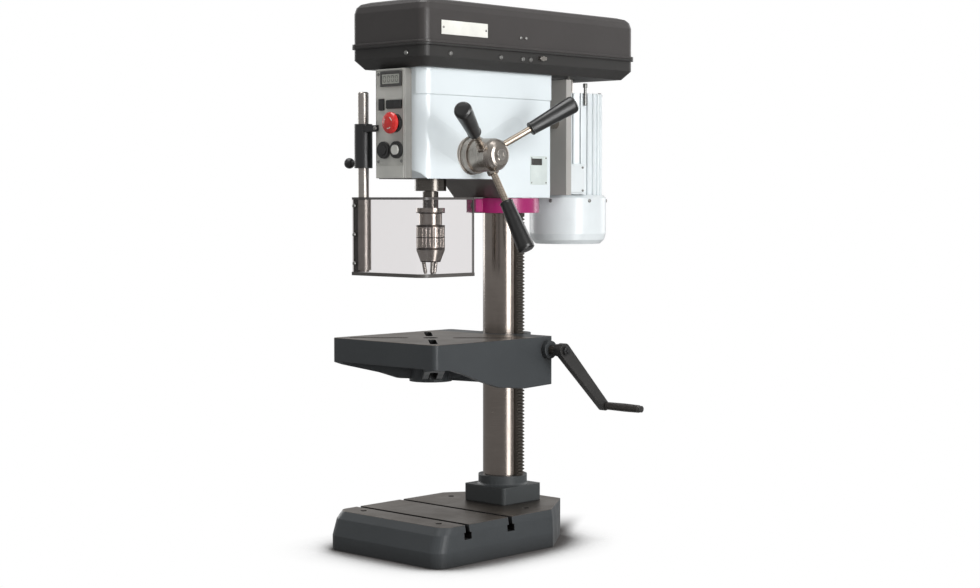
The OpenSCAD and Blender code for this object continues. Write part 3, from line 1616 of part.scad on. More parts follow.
module motor_plate() {
  color([0.22, 0.22, 0.23])
  difference() {
    translate([-plate_w / 2, plate_y, motor_z]) cube([plate_w, plate_t, plate_h]);
    for (s = [-1, 1])
      translate([s * rod_x, 0, rod_z]) rod_y_axis(rod_d / 2, plate_y - eps, plate_y + plate_t + eps);
  }
}
module slide_rods() {
  color([0.7, 0.7, 0.71])
  for (s = [-1, 1])
    translate([s * rod_x, 0, rod_z]) rod_y_axis(rod_d / 2, rod_y, plate_y + plate_t);
}
module motor_housing() {
  core_r = motor_d / 2 - fin_h;
  color([0.8, 0.81, 0.81])
  difference() {
    union() {
      motor_at(motor_z) linear_extrude(motor_h) {
        circle(r = core_r);
        for (i = [0 : fins - 1])
          rotate(i * 360 / fins) translate([0, -fin_w / 2]) square([motor_d / 2, fin_w]);
      }
      translate([-motor_d * 0.35, plate_y + plate_t, motor_z + 12])
        cube([motor_d * 0.7, motor_reach - plate_y - plate_t, motor_h - 24]);
    }
    motor_at(motor_z + bell) cylinder(r = rotor_r + 1, h = motor_h - 2 * bell);
    motor_at(motor_z - eps) cylinder(r = motor_shaft_d / 2 + run_gap, h = motor_h + 2 * eps);
    terminal_place() cube([motor_d, terminal_w, terminal_h]);
  }
}
module motor_cowl() {
  r = cowl_d / 2;
  color([0.82, 0.83, 0.83])
  motor_at(0) difference() {
    rotate_extrude() polygon([
      [0, cowl_z],
      [r - cowl_bevel * 0.6, cowl_z],
      [r - cowl_bevel * 0.18, cowl_z + cowl_bevel * 0.4],
      [r, cowl_z + cowl_bevel],
      [r, motor_z - 5],
      [r - 5, motor_z],
      [motor_d / 2 - 12, motor_z],
      [motor_d / 2 - 12, motor_z - cowl_wall],
      [r - 2 * cowl_wall, motor_z - cowl_wall],
      [r - cowl_wall, motor_z - 2 * cowl_wall],
      [r - cowl_wall, cowl_z + cowl_bevel],
      [r - cowl_bevel * 0.6 - 2, cowl_z + cowl_wall],
      [0, cowl_z + cowl_wall]
    ]);
    for (i = [0 : 11])
      rotate([0, 0, i * 30]) translate([18, -3, cowl_z - eps])
        cube([r - cowl_bevel - 20, 6, cowl_wall + 2 * eps]);
  }
}
module terminal_box() {
  color([0.8, 0.81, 0.81])
  terminal_place() {
    cube([terminal_t, terminal_w, terminal_h]);
    translate([terminal_t, 3, 3]) cube([3, terminal_w - 6, terminal_h - 6]);
  }
}
module terminal_place() {
  motor_at(motor_z) rotate([0, 0, -terminal_turn])
    translate([motor_d / 2 - fin_h - eps, -terminal_w / 2, 2 * eps]) children();
}
module motor_rotor() {
  color([0.5, 0.5, 0.5])
  motor_at(0) {
    translate([0, 0, cowl_z + 12])
      cylinder(r = motor_shaft_d / 2, h = pulley_z + pulley_h - cowl_z - 10);
    translate([0, 0, motor_z + bell + 8]) cylinder(r = rotor_r, h = motor_h - 2 * bell - 16);
  }
}
module motor_fan() {
  color([0.15, 0.15, 0.16])
  motor_at(cowl_z + fan_up) difference() {
    union() {
      cylinder(r = fan_r, h = fan_h);
      for (i = [0 : blades - 1])
        rotate([0, 0, i * 360 / blades]) translate([fan_r / 2, -fin_w / 2, 2])
          cube([cowl_d / 2 - 22, fin_w, fan_h - 4]);
    }
    translate([0, 0, -eps]) cylinder(r = motor_shaft_d / 2, h = fan_h + 2 * eps);
  }
}

module guard_bracket() {
  color([0.12, 0.12, 0.12])
  difference() {
    union() {
      guard_at(holder_z) cylinder(r = holder_d / 2, h = holder_h);
      translate([-guard_x, -guard_y - arm_t / 2, arm_z]) cube([guard_x - box_w / 2, arm_t, arm_h]);
      translate([-guard_x, box_y - tab_t, arm_z]) cube([guard_x - box_w / 2 + tab_len, tab_t, arm_h]);
    }
    guard_at(holder_z - eps) cylinder(r = guard_rod_d / 2 + run_gap, h = holder_h + 2 * eps);
    translate([0, -guard_y, knob_z]) rod_x_axis(knob_screw_r + run_gap, -guard_x - holder_d, -guard_x);
  }
}
module guard_rod() {
  color([0.75, 0.75, 0.76])
  guard_at(guard_z) {
    cylinder(r = guard_rod_d / 2, h = guard_rod_len - 2);
    translate([0, 0, guard_rod_len - 2]) cylinder(r1 = guard_rod_d / 2, r2 = guard_rod_d / 2 - 2, h = 2);
  }
}
module guard_knob() {
  knob_x = -guard_x - holder_d / 2 - knob_neck;
  color([0.1, 0.1, 0.1])
  translate([0, -guard_y, knob_z]) {
    rod_x_axis(knob_screw_r, knob_x - eps, -guard_x - guard_rod_d / 2 - eps);
    translate([knob_x - knob_d / 2, 0, 0]) rotate([0, 90, 0]) sphere(r = knob_d / 2);
  }
}
module shield2d(grow) {
  x1 = shield_x + grow;
  y0 = shield_y - grow;
  inner = sheet + 2 * grow;
  intersection() {
    difference() {
      rounded2d(-cover_w * 2, x1, y0, head_rear * 4, shield_bend + grow);
      rounded2d(-cover_w * 2 - eps, x1 - inner, y0 + inner, head_rear * 4 + eps,
        shield_bend - sheet - grow);
    }
    translate([-guard_x - hoop_d / 2, y0 - eps])
      square([guard_x + hoop_d / 2 + x1 + eps, shield_back + grow + eps]);
  }
}
module guard_frame() {
  color([0.12, 0.12, 0.12])
  difference() {
    union() {
      guard_at(shield_z + sheet) cylinder(r = hoop_d / 2, h = shield_h - 2 * sheet);
      translate([-guard_x - hoop_d / 2, shield_y + sheet, shield_z]) cube([strip_w, tab_t, shield_h]);
      translate([0, 0, shield_z - trim_h]) linear_extrude(trim_h) shield2d(trim_out);
    }
    guard_at(shield_z - eps) cylinder(r = guard_rod_d / 2 + run_gap, h = shield_h + 2 * eps);
  }
}
module guard_shield() {
  color([0.8, 0.86, 0.88, 0.4])
  translate([0, 0, shield_z]) linear_extrude(shield_h) shield2d(0);
}

base_casting();
column_flange();
flange_bolts();
column();
rack_collar();
set_screws();
lift_rack();
table_casting();
table_lock();
lift_gear();
crank_shaft();
crank_arm();
crank_grip();
head_casting();
control_box();
display_window();
button_bezels();
estop_button();
start_button();
stop_button();
light_switch();
speed_switch();
quill();
quill_bearings();
spindle();
chuck_body();
chuck_sleeve();
chuck_jaw_a();
chuck_jaw_b();
chuck_jaw_c();
feed_shaft();
feed_bush();
feed_hub();
feed_spokes();
feed_grips();
depth_ring();
spring_cup();
return_spring();
drive_sleeve();
sleeve_bearings();
spindle_pulley();
drive_belt();
motor_pulley();
motor_plate();
slide_rods();
motor_housing();
motor_cowl();
terminal_box();
motor_rotor();
motor_fan();
belt_pan();
pan_screws();
hinge_pins();
belt_lid();
lid_latch();
guard_bracket();
guard_rod();
guard_knob();
guard_frame();
guard_shield();
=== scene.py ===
import json
import math

import bmesh
import bpy
from mathutils import Matrix, Vector


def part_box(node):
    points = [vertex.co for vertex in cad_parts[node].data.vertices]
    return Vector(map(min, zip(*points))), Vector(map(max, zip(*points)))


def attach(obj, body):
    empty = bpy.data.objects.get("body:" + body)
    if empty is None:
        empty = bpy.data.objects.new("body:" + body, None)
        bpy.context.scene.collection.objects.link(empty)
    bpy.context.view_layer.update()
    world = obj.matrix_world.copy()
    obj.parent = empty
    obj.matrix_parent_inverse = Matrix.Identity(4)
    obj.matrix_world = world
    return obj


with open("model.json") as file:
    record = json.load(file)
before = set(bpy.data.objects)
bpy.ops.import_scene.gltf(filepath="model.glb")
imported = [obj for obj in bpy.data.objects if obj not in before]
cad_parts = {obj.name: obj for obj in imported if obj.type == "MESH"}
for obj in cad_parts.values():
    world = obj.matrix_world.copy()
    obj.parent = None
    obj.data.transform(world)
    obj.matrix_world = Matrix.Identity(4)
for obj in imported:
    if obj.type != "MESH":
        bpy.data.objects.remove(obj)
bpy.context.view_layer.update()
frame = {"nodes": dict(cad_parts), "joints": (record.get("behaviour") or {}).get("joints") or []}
nodes = frame["nodes"]


def joint_place(name):
    """A point on a joint's axis, at rest."""
    return next(joint["pos_m"] for joint in frame["joints"] if joint["name"] == name)


# places from the frame that the looks and the small pieces share, in metres
FEED_Y, FEED_Z = joint_place("feed_turn")[1:]
CRANK_Y, CRANK_Z = joint_place("crank_turn")[1:]
MOTOR_Y = joint_place("rotor_spin")[1]
HUB_END_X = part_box("feed_hub")[1][0]
CRANK_END_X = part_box("crank_shaft")[1][0]
PANEL_FACE_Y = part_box("display_window")[1][1]
SHIELD_FACE_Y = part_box("guard_shield")[0][1]
TABLE_TOP_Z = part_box("table_casting")[1][2]
BASE_LOW, BASE_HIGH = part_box("base_casting")

RIGHT = (1, 0, 0)
FRONT = (0, -1, 0)
SMOOTH_ANGLE = math.radians(35)
PHOTO_TURN = math.radians(43.47)
COAT_ROUGH = 0.15

COLOUR, NUMBER, VECTOR = "NodeSocketColor", "NodeSocketFloat", "NodeSocketVector"


def linear(hex_colour):
    """A hex colour as linear red, green and blue, with full alpha."""
    out = []
    for i in (1, 3, 5):
        c = int(hex_colour[i:i + 2], 16) / 255
        out.append(c / 12.92 if c <= 0.04045 else ((c + 0.055) / 1.055) ** 2.4)
    return (*out, 1.0)


def grey(value):
    return (value, value, value, 1)


# shader nodes, each made by a function that returns what the node puts out
def give(tree, socket, value):
    """Links the socket to another node's socket, or sets it to a plain value."""
    if hasattr(value, "is_linked"):
        tree.links.new(value, socket)
    else:
        socket.default_value = value


def math_node(tree, op, a, b=None, clamp=False):
    n = tree.nodes.new("ShaderNodeMath")
    n.operation = op
    n.use_clamp = clamp
    give(tree, n.inputs[0], a)
    if b is not None:
        give(tree, n.inputs[1], b)
    return n.outputs[0]


def plus(tree, a, b, clamp=False):
    return math_node(tree, "ADD", a, b, clamp)


def minus(tree, a, b, clamp=False):
    return math_node(tree, "SUBTRACT", a, b, clamp)


def times(tree, a, b, clamp=False):
    return math_node(tree, "MULTIPLY", a, b, clamp)


def size_of(tree, value):
    return math_node(tree, "ABSOLUTE", value)


def below(tree, value, limit):
    return math_node(tree, "LESS_THAN", value, limit)


def above(tree, value, limit):
    return math_node(tree, "GREATER_THAN", value, limit)


def mix_colour(tree, fac, a, b, blend="MIX"):
    n = tree.nodes.new("ShaderNodeMix")
    n.data_type = "RGBA"
    n.blend_type = blend
    for socket, value in ((n.inputs[0], fac), (n.inputs[6], a), (n.inputs[7], b)):
        give(tree, socket, value)
    return n.outputs[2]


def mix_shader(tree, fac, first, second):
    n = tree.nodes.new("ShaderNodeMixShader")
    for socket, value in zip(n.inputs, (fac, first, second)):
        tree.links.new(value, socket)
    return n.outputs[0]


def noise(tree, vector, scale, detail, rough=0.55):
    n = tree.nodes.new("ShaderNodeTexNoise")
    n.inputs["Detail"].default_value = detail
    n.inputs["Roughness"].default_value = rough
    tree.links.new(vector, n.inputs["Vector"])
    give(tree, n.inputs["Scale"], scale)
    return n.outputs["Fac"]


def ramp(tree, value, low, high, start, end, kind="SMOOTHSTEP"):
    """Goes from start to end while the value goes from low to high."""
    n = tree.nodes.new("ShaderNodeMapRange")
    n.interpolation_type = kind
    tree.links.new(value, n.inputs[0])
    for socket, v in zip(n.inputs[1:5], (low, high, start, end)):
        socket.default_value = v
    return n.outputs[0]


def spread(tree, fac, start, end):
    """Takes the middle of a noise's range out to start and end."""
    return ramp(tree, fac, 0.3, 0.7, start, end, "LINEAR")


def own_place(tree):
    return tree.nodes.new("ShaderNodeTexCoord").outputs["Object"]


def surface(tree, what):
    return tree.nodes.new("ShaderNodeNewGeometry").outputs[what]


def parted(tree, vector):
    """A vector's X, Y and Z."""
    n = tree.nodes.new("ShaderNodeSeparateXYZ")
    tree.links.new(vector, n.inputs[0])
    return n.outputs


def rounded_normal(tree, radius, samples):
    n = tree.nodes.new("ShaderNodeBevel")
    n.samples = samples
    n.inputs["Radius"].default_value = radius
    return n.outputs[0]


def openness(tree, distance, samples):
    """1 on open surfaces, and less where something stands within the distance."""
    n = tree.nodes.new("ShaderNodeAmbientOcclusion")
    n.samples = samples
    n.inputs["Distance"].default_value = distance
    return n.outputs["AO"]


# shader groups shared by the materials
def new_group(name, ins):
    """A group with these inputs that puts out a look: its colour, roughness and height."""
    group = bpy.data.node_groups.new(name, "ShaderNodeTree")
    for label, kind, value in ins:
        socket = group.interface.new_socket(label, in_out="INPUT", socket_type=kind)
        socket.default_value = value
    for label, kind in (("Color", COLOUR), ("Roughness", NUMBER), ("Height", NUMBER)):
        group.interface.new_socket(label, in_out="OUTPUT", socket_type=kind)
    return group, group.nodes.new("NodeGroupInput").outputs, group.nodes.new("NodeGroupOutput").inputs


def paint_group():
    g, given, out = new_group("paint_film", [
        ("Paint", COLOUR, grey(0.5)), ("Worn", COLOUR, grey(0.3)), ("Rough", NUMBER, 0.4),
        ("Texture Size", NUMBER, 400.0), ("Edge Wear", NUMBER, 0.15), ("Mottle", NUMBER, 1.0)])
    at = own_place(g)
    cloud = noise(g, at, scale=9.0, detail=4.0)
    shade = mix_colour(g, spread(g, cloud, 0.0, 1.0), grey(0.93), grey(1.04))
    tint = mix_colour(g, given["Mottle"], given["Paint"], shade, "MULTIPLY")
    dot = g.nodes.new("ShaderNodeVectorMath")
    dot.operation = "DOT_PRODUCT"
    g.links.new(rounded_normal(g, radius=0.0012, samples=3), dot.inputs[0])
    g.links.new(surface(g, "Normal"), dot.inputs[1])
    edge = times(g, minus(g, 1.0, dot.outputs["Value"], clamp=True), 4.0, clamp=True)
    patches = noise(g, at, scale=60.0, detail=5.0)
    patchy = times(g, edge, spread(g, patches, 0.0, 1.0), clamp=True)
    worn = times(g, patchy, given["Edge Wear"], clamp=True)
    g.links.new(mix_colour(g, worn, tint, given["Worn"]), out["Color"])
    smears = noise(g, at, scale=28.0, detail=5.0)
    smear = times(g, spread(g, smears, -0.06, 0.08), given["Mottle"])
    g.links.new(plus(g, given["Rough"], smear, clamp=True), out["Roughness"])
    g.links.new(noise(g, at, given["Texture Size"], detail=2.0), out["Height"])
    return g


def steel_group():
    g, given, out = new_group("machined_steel", [
        ("Metal", COLOUR, grey(0.5)), ("Stain", COLOUR, (0.3, 0.28, 0.25, 1)), ("Rough", NUMBER, 0.3),
        ("Stretch", VECTOR, (1, 1, 1)), ("Stain Amount", NUMBER, 0.25)])
    at = own_place(g)
    along = g.nodes.new("ShaderNodeVectorMath")
    along.operation = "MULTIPLY"
    g.links.new(at, along.inputs[0])
    g.links.new(given["Stretch"], along.inputs[1])
    lines = noise(g, along.outputs[0], scale=1.0, detail=4.0, rough=0.7)
    cloud = noise(g, at, scale=14.0, detail=6.0, rough=0.6)
    stained = times(g, spread(g, cloud, 0.0, 1.0), given["Stain Amount"], clamp=True)
    tint = mix_colour(g, stained, given["Metal"], given["Stain"])
    streak = mix_colour(g, spread(g, lines, 0.0, 1.0), grey(0.86), grey(1.08))
    g.links.new(mix_colour(g, 1.0, tint, streak, "MULTIPLY"), out["Color"])
    smear = plus(g, spread(g, lines, -0.05, 0.07), spread(g, cloud, -0.03, 0.08))
    g.links.new(plus(g, given["Rough"], smear, clamp=True), out["Roughness"])
    g.links.new(lines, out["Height"])
    return g


def moulded_group():
    g, given, out = new_group("moulded_plastic", [
        ("Plastic", COLOUR, grey(0.1)), ("Rough", NUMBER, 0.4), ("Grain Size", NUMBER, 900.0)])
    at = own_place(g)
    dust = spread(g, noise(g, at, scale=22.0, detail=5.0), 0.0, 1.0)
    shade = mix_colour(g, dust, grey(0.9), (1.12, 1.11, 1.1, 1))
    g.links.new(mix_colour(g, 1.0, given["Plastic"], shade, "MULTIPLY"), out["Color"])
    smear = spread(g, noise(g, at, scale=45.0, detail=4.0), -0.07, 0.1)
    g.links.new(plus(g, given["Rough"], smear, clamp=True), out["Roughness"])
    g.links.new(noise(g, at, given["Grain Size"], detail=2.0), out["Height"])
    return g


PAINT = paint_group()
STEEL = steel_group()
MOULD = moulded_group()


def add_group(tree, group, **values):
    n = tree.nodes.new("ShaderNodeGroup")
    n.node_tree = group
    for key, value in values.items():
        n.inputs[key.replace("_", " ")].default_value = value
    return n.outputs


def paint_look(tree, colour, worn, rough, size, wear=0.15, mottle=1.0):
    return add_group(tree, PAINT, Paint=linear(colour), Worn=linear(worn), Rough=rough, Texture_Size=size,
                     Edge_Wear=wear, Mottle=mottle)


def steel_look(tree, colour, stain, rough, amount, stretch):
    return add_group(tree, STEEL, Metal=linear(colour), Stain=linear(stain), Rough=rough, Stain_Amount=amount,
                     Stretch=stretch)


def plastic_look(tree, colour, rough, grain):
    return add_group(tree, MOULD, Plastic=linear(colour), Rough=rough, Grain_Size=grain)


def blend_looks(tree, mask, first, second):
    """The second look's sockets where the mask is 1, and the first look's elsewhere."""
    out = {"Color": mix_colour(tree, mask, first["Color"], second["Color"])}
    for key in ("Roughness", "Height"):
        n = tree.nodes.new("ShaderNodeMix")
        for socket, value in zip((n.inputs[0], n.inputs[2], n.inputs[3]), (mask, first[key], second[key])):
            tree.links.new(value, socket)
        out[key] = n.outputs[0]
    return out


# materials
def new_material(name):
    mat = bpy.data.materials.new(name)
    mat.use_nodes = True
    tree = mat.node_tree
    return mat, tree, tree.nodes["Principled BSDF"]


def hook_up(tree, bsdf, look, bump, depth, edge=0.0):
    """Puts a look on the material, with its height as a bump and its edges rounded by the edge's radius."""
    tree.links.new(look["Color"], bsdf.inputs["Base Color"])
    tree.links.new(look["Roughness"], bsdf.inputs["Roughness"])
    n = tree.nodes.new("ShaderNodeBump")
    n.inputs["Strength"].default_value = bump
    n.inputs["Distance"].default_value = depth
    tree.links.new(look["Height"], n.inputs["Height"])
    if edge:
        tree.links.new(rounded_normal(tree, edge, samples=4), n.inputs["Normal"])
    tree.links.new(n.outputs[0], bsdf.inputs["Normal"])


def paint(name, colour, worn="#8a8886", rough=0.4, size=400.0, wear=0.15, coat=0.0, bump=0.12, edge=0.0012,
          shine=0.5):
    mat, tree, bsdf = new_material(name)
    look = paint_look(tree, colour, worn, rough, size, wear)
    hook_up(tree, bsdf, look, bump, depth=0.0004, edge=edge)
    bsdf.inputs["Coat Weight"].default_value = coat
    bsdf.inputs["Coat Roughness"].default_value = COAT_ROUGH
    bsdf.inputs["Specular IOR Level"].default_value = shine
    return mat


def steel(name, colour, stain="#4a443c", rough=0.3, stretch=(40, 40, 1500), amount=0.25, bump=0.08):
    mat, tree, bsdf = new_material(name)
    look = steel_look(tree, colour, stain, rough, amount, stretch)
    hook_up(tree, bsdf, look, bump, depth=0.0003, edge=0.0006)
    bsdf.inputs["Metallic"].default_value = 1.0
    return mat


def plastic(name, colour, rough=0.4, grain=900.0, bump=0.1, coat=0.0, edge=0.0008):
    mat, tree, bsdf = new_material(name)
    look = plastic_look(tree, colour, rough, grain)
    hook_up(tree, bsdf, look, bump, depth=0.0003, edge=edge)
    bsdf.inputs["Coat Weight"].default_value = coat
    return mat


def casting(name, colour, top_z, back_y):
    """Painted casting whose top face, at top_z and ahead of back_y, is bare machined iron, and whose recesses
    are darkened as painted shade.
    """
    mat, tree, bsdf = new_material(name)
    skin = paint_look(tree, colour, "#7d7a76", rough=0.42, size=260.0, wear=0.3)
    bare = steel_look(tree, "#6c645c", "#4a423a", rough=0.36, amount=0.5, stretch=(900, 12, 12))
    at = parted(tree, own_place(tree))
    top = times(tree, above(tree, at["Z"], top_z - 0.0004), below(tree, at["Y"], back_y))
    tree.links.new(top, bsdf.inputs["Metallic"])
    look = blend_looks(tree, top, skin, bare)
    # painted shade: the colour goes towards near black where another surface stands within 7 cm
    free_of_painted_shade = ramp(tree, openness(tree, distance=0.07, samples=8), 0.3, 0.8, 0.0, 1.0)
    look["Color"] = mix_colour(tree, free_of_painted_shade, linear("#100e0d"), look["Color"])
    hook_up(tree, bsdf, look, bump=0.16, depth=0.0005, edge=0.0025)
    bsdf.inputs["Specular IOR Level"].default_value = 0.25
    return mat


def head_skin(name):
    """Painted head whose downward faces under its bottom edge are darkened as painted shade, with a turned
    metal boss round the feed shaft.
    """
    underside_z = 0.6612
    boss_radius, boss_x = 0.0343, 0.045
    mat, tree, bsdf = new_material(name)
    skin = paint_look(tree, "#dfe7ea", "#b9bdbf", rough=0.3, size=330.0, wear=0.1, mottle=0.35)
    under = paint_look(tree, "#4b4642", "#6d6863", rough=0.5, size=240.0, wear=0.2)
    boss = steel_look(tree, "#a29b94", "#665d52", rough=0.28, amount=0.3, stretch=(1800, 30, 30))
    normal = parted(tree, surface(tree, "True Normal"))
    at = parted(tree, own_place(tree))
    # painted shade: downward faces below the head's bottom edge take the dark brown-grey look
    painted_shade_mask = times(tree, below(tree, normal["Z"], -0.2), below(tree, at["Z"], underside_z))
    off_y = math_node(tree, "POWER", minus(tree, at["Y"], FEED_Y), 2.0)
    off_z = math_node(tree, "POWER", minus(tree, at["Z"], FEED_Z), 2.0)
    disc = below(tree, plus(tree, off_y, off_z), boss_radius ** 2)
    disc = times(tree, disc, above(tree, at["X"], boss_x))
    tree.links.new(disc, bsdf.inputs["Metallic"])
    look = blend_looks(tree, disc, blend_looks(tree, painted_shade_mask, skin, under), boss)
    hook_up(tree, bsdf, look, bump=0.1, depth=0.0004, edge=0.003)
    bsdf.inputs["Coat Weight"].default_value = 0.3
    bsdf.inputs["Coat Roughness"].default_value = COAT_ROUGH
    return mat


def chuck_metal(name):
    """Polished steel with dark oiled bands round the joints of the chuck."""
    bands = ((0.6003, 0.0016), (0.5775, 0.0022), (0.5572, 0.0009), (0.5372, 0.002), (0.5146, 0.0012))
    mat, tree, bsdf = new_material(name)
    polished = steel_look(tree, "#aaa39c", "#5c554e", rough=0.17, amount=0.3, stretch=(30, 30, 2200))
    oiled = steel_look(tree, "#4f4842", "#2b2723", rough=0.3, amount=0.4, stretch=(30, 30, 2200))
    up = parted(tree, own_place(tree))["Z"]
    dark = 0.0
    for middle_z, half in bands:
        dark = plus(tree, below(tree, size_of(tree, minus(tree, up, middle_z)), half), dark, clamp=True)
    hook_up(tree, bsdf, blend_looks(tree, dark, polished, oiled), bump=0.08, depth=0.0003, edge=0.0006)
    bsdf.inputs["Metallic"].default_value = 1.0
    return mat


def panel_skin(name):
    """Moulded control cover with a pale front face and darker sides."""
    mat, tree, bsdf = new_material(name)
    front = plastic_look(tree, "#c8c8c2", rough=0.45, grain=700.0)
    sides = plastic_look(tree, "#858480", rough=0.5, grain=700.0)
    normal = parted(tree, surface(tree, "True Normal"))
    sideways = above(tree, size_of(tree, normal["X"]), 0.5)
    hook_up(tree, bsdf, blend_looks(tree, sideways, front, sides), bump=0.1, depth=0.0003, edge=0.0015)
    return mat


def guard_metal(name):
    """Grey steel tube with the dark enamelled strip and foot that hold the sheet."""
    strip_x, foot_z = -0.0735, 0.4975
    mat, tree, bsdf = new_material(name)
    tube = steel_look(tree, "#a7a29d", "#6a645e", rough=0.34, amount=0.3, stretch=(60, 60, 900))
    strip = paint_look(tree, "#4a4744", "#77736f", rough=0.4, size=420.0)
    at = parted(tree, own_place(tree))
    dark = plus(tree, below(tree, at["X"], strip_x), below(tree, at["Z"], foot_z), clamp=True)
    tree.links.new(minus(tree, 1.0, dark), bsdf.inputs["Metallic"])
    hook_up(tree, bsdf, blend_looks(tree, dark, tube, strip), bump=0.08, depth=0.0003, edge=0.0008)
    return mat


def clear_sheet(name):
    """Clear bent sheet that shows darker at its cut top and rear edges."""
    cut_z, cut_y = 0.6238, -0.174
    mat, tree, bsdf = new_material(name)
    body = plastic_look(tree, "#8f8d90", rough=0.12, grain=60.0)
    cut = plastic_look(tree, "#4f4b4a", rough=0.3, grain=200.0)
    at = parted(tree, own_place(tree))
    rim = plus(tree, above(tree, at["Z"], cut_z), above(tree, at["Y"], cut_y), clamp=True)
    hook_up(tree, bsdf, blend_looks(tree, rim, body, cut), bump=0.03, depth=0.0002)
    through = tree.nodes.new("ShaderNodeBsdfTransparent")
    through.inputs[0].default_value = (0.9, 0.888, 0.889, 1)
    slant = tree.nodes.new("ShaderNodeLayerWeight")
    slant.inputs["Blend"].default_value = 0.2
    haze = plus(tree, times(tree, slant.outputs["Fresnel"], 0.4), 0.03, clamp=True)
    haze = plus(tree, haze, times(tree, rim, 0.75), clamp=True)
    sheet = mix_shader(tree, haze, through.outputs[0], bsdf.outputs[0])
    tree.links.new(sheet, tree.nodes["Material Output"].inputs["Surface"])
    return mat


# the looks of the nodes and the small pieces, by name
LOOKS = {
    "table": casting("table_casting", "#3d4042", TABLE_TOP_Z, back_y=-0.05),
    "base": casting("base_casting", "#3d4042", BASE_HIGH[2], back_y=0.4),
    "flange": paint("flange_paint", "#424546", rough=0.42, size=260.0, wear=0.3, bump=0.2, edge=0.003,
                    shine=0.25),
    "bolt": steel("bolt_zinc", "#8c8c8a", rough=0.38, stretch=(300, 300, 300)),
    "column": steel("ground_column", "#8d857f", stain="#6a625b", rough=0.16, stretch=(20, 20, 2600),
                    amount=0.35),
    "collar": paint("collar_paint", "#9a0f60", worn="#c8318c", rough=0.32, coat=0.35, edge=0.002),
    "rack": steel("rack_iron", "#6f6a64", stain="#4d463e", rough=0.42, stretch=(900, 900, 60), amount=0.5),
    "head": head_skin("head_paint"),
    "panel": panel_skin("panel_grey"),
    "display": plastic("display_frame", "#353432", rough=0.2, coat=0.5),
    "black": plastic("black_plastic", "#1d1d1d", rough=0.38, grain=650.0, bump=0.16),
    "grip": plastic("grip_plastic", "#101010", rough=0.34, grain=420.0, bump=0.14, coat=0.1),
    "red": plastic("stop_red", "#d22420", rough=0.3, coat=0.25),
    "pale": plastic("pale_cap", "#dcdcd6", rough=0.32, coat=0.2),
    "bright": steel("bright_steel", "#b3aea8", rough=0.22, stretch=(30, 30, 2000), amount=0.2),
    "quill": steel("quill_steel", "#625e5a", stain="#3d3935", rough=0.2, stretch=(30, 30, 2000)),
    "chuck": chuck_metal("chuck_steel"),
    "hub": steel("hub_metal", "#a29b94", stain="#665d52", rough=0.28, stretch=(1800, 30, 30), amount=0.3),
    "spoke": steel("spoke_steel", "#a1968a", stain="#6e6252", rough=0.26, stretch=(60, 60, 900), amount=0.3,
                   bump=0.03),
    "rod": steel("guard_rod_steel", "#a7a29d", stain="#78726c", rough=0.3, stretch=(60, 60, 900), amount=0.3,
                 bump=0.03),
    "bronze": steel("bush_bronze", "#a9803f", stain="#5d421c", rough=0.35, stretch=(1500, 40, 40)),
    "spring": steel("spring_steel", "#6c737c", stain="#394049", rough=0.3, stretch=(1200, 60, 60)),
    "crank": paint("crank_enamel", "#2c2b2a", worn="#6b6a68", rough=0.36, wear=0.25),
    "crankgrip": plastic("crank_grip_plastic", "#353230", rough=0.4, grain=420.0, bump=0.14),
    "blackmetal": paint("black_enamel", "#1c1c1d", worn="#6b6a68", rough=0.36, wear=0.2),
    "pulley": steel("pulley_metal", "#b5b6b6", stain="#7a7772", rough=0.28, stretch=(30, 30, 2400),
                    amount=0.2),
    "belt": plastic("belt_rubber", "#1a1918", rough=0.62, grain=1500.0, bump=0.3),
    "motor": paint("motor_paint", "#dde3e5", worn="#a4a8aa", rough=0.36, size=300.0, wear=0.12, coat=0.15,
                   edge=0.001),
    # the motor plate's grey is partly painted shade, darker than its light paint, for the shade between the
    # head and the motor
    "saddle": paint("saddle_paint", "#a9a7a3", worn="#7c7a77", size=300.0, edge=0.0015),
    "pan": paint("pan_paint", "#2e2d2c", worn="#7a7877", rough=0.46, size=620.0, wear=0.2, bump=0.3,
                 edge=0.002, shine=0.3),
    "lid": paint("lid_paint", "#393635", worn="#8a8684", rough=0.44, size=620.0, wear=0.2, bump=0.3,
                 edge=0.002, shine=0.4),
    "guard": guard_metal("guard_metal"),
    "clear": clear_sheet("clear_sheet"),
    "label": plastic("blank_label", "#e4e4de", rough=0.35, grain=1200.0, bump=0.04, coat=0.3, edge=0.0003),
    "plate": plastic("blank_plate", "#cdd6d4", rough=0.34, grain=1200.0, bump=0.04, coat=0.2, edge=0.0003),
    "lcd": plastic("lcd_glass", "#a9aba2", rough=0.12, grain=300.0, bump=0.02, coat=0.6, edge=0.0002),
}

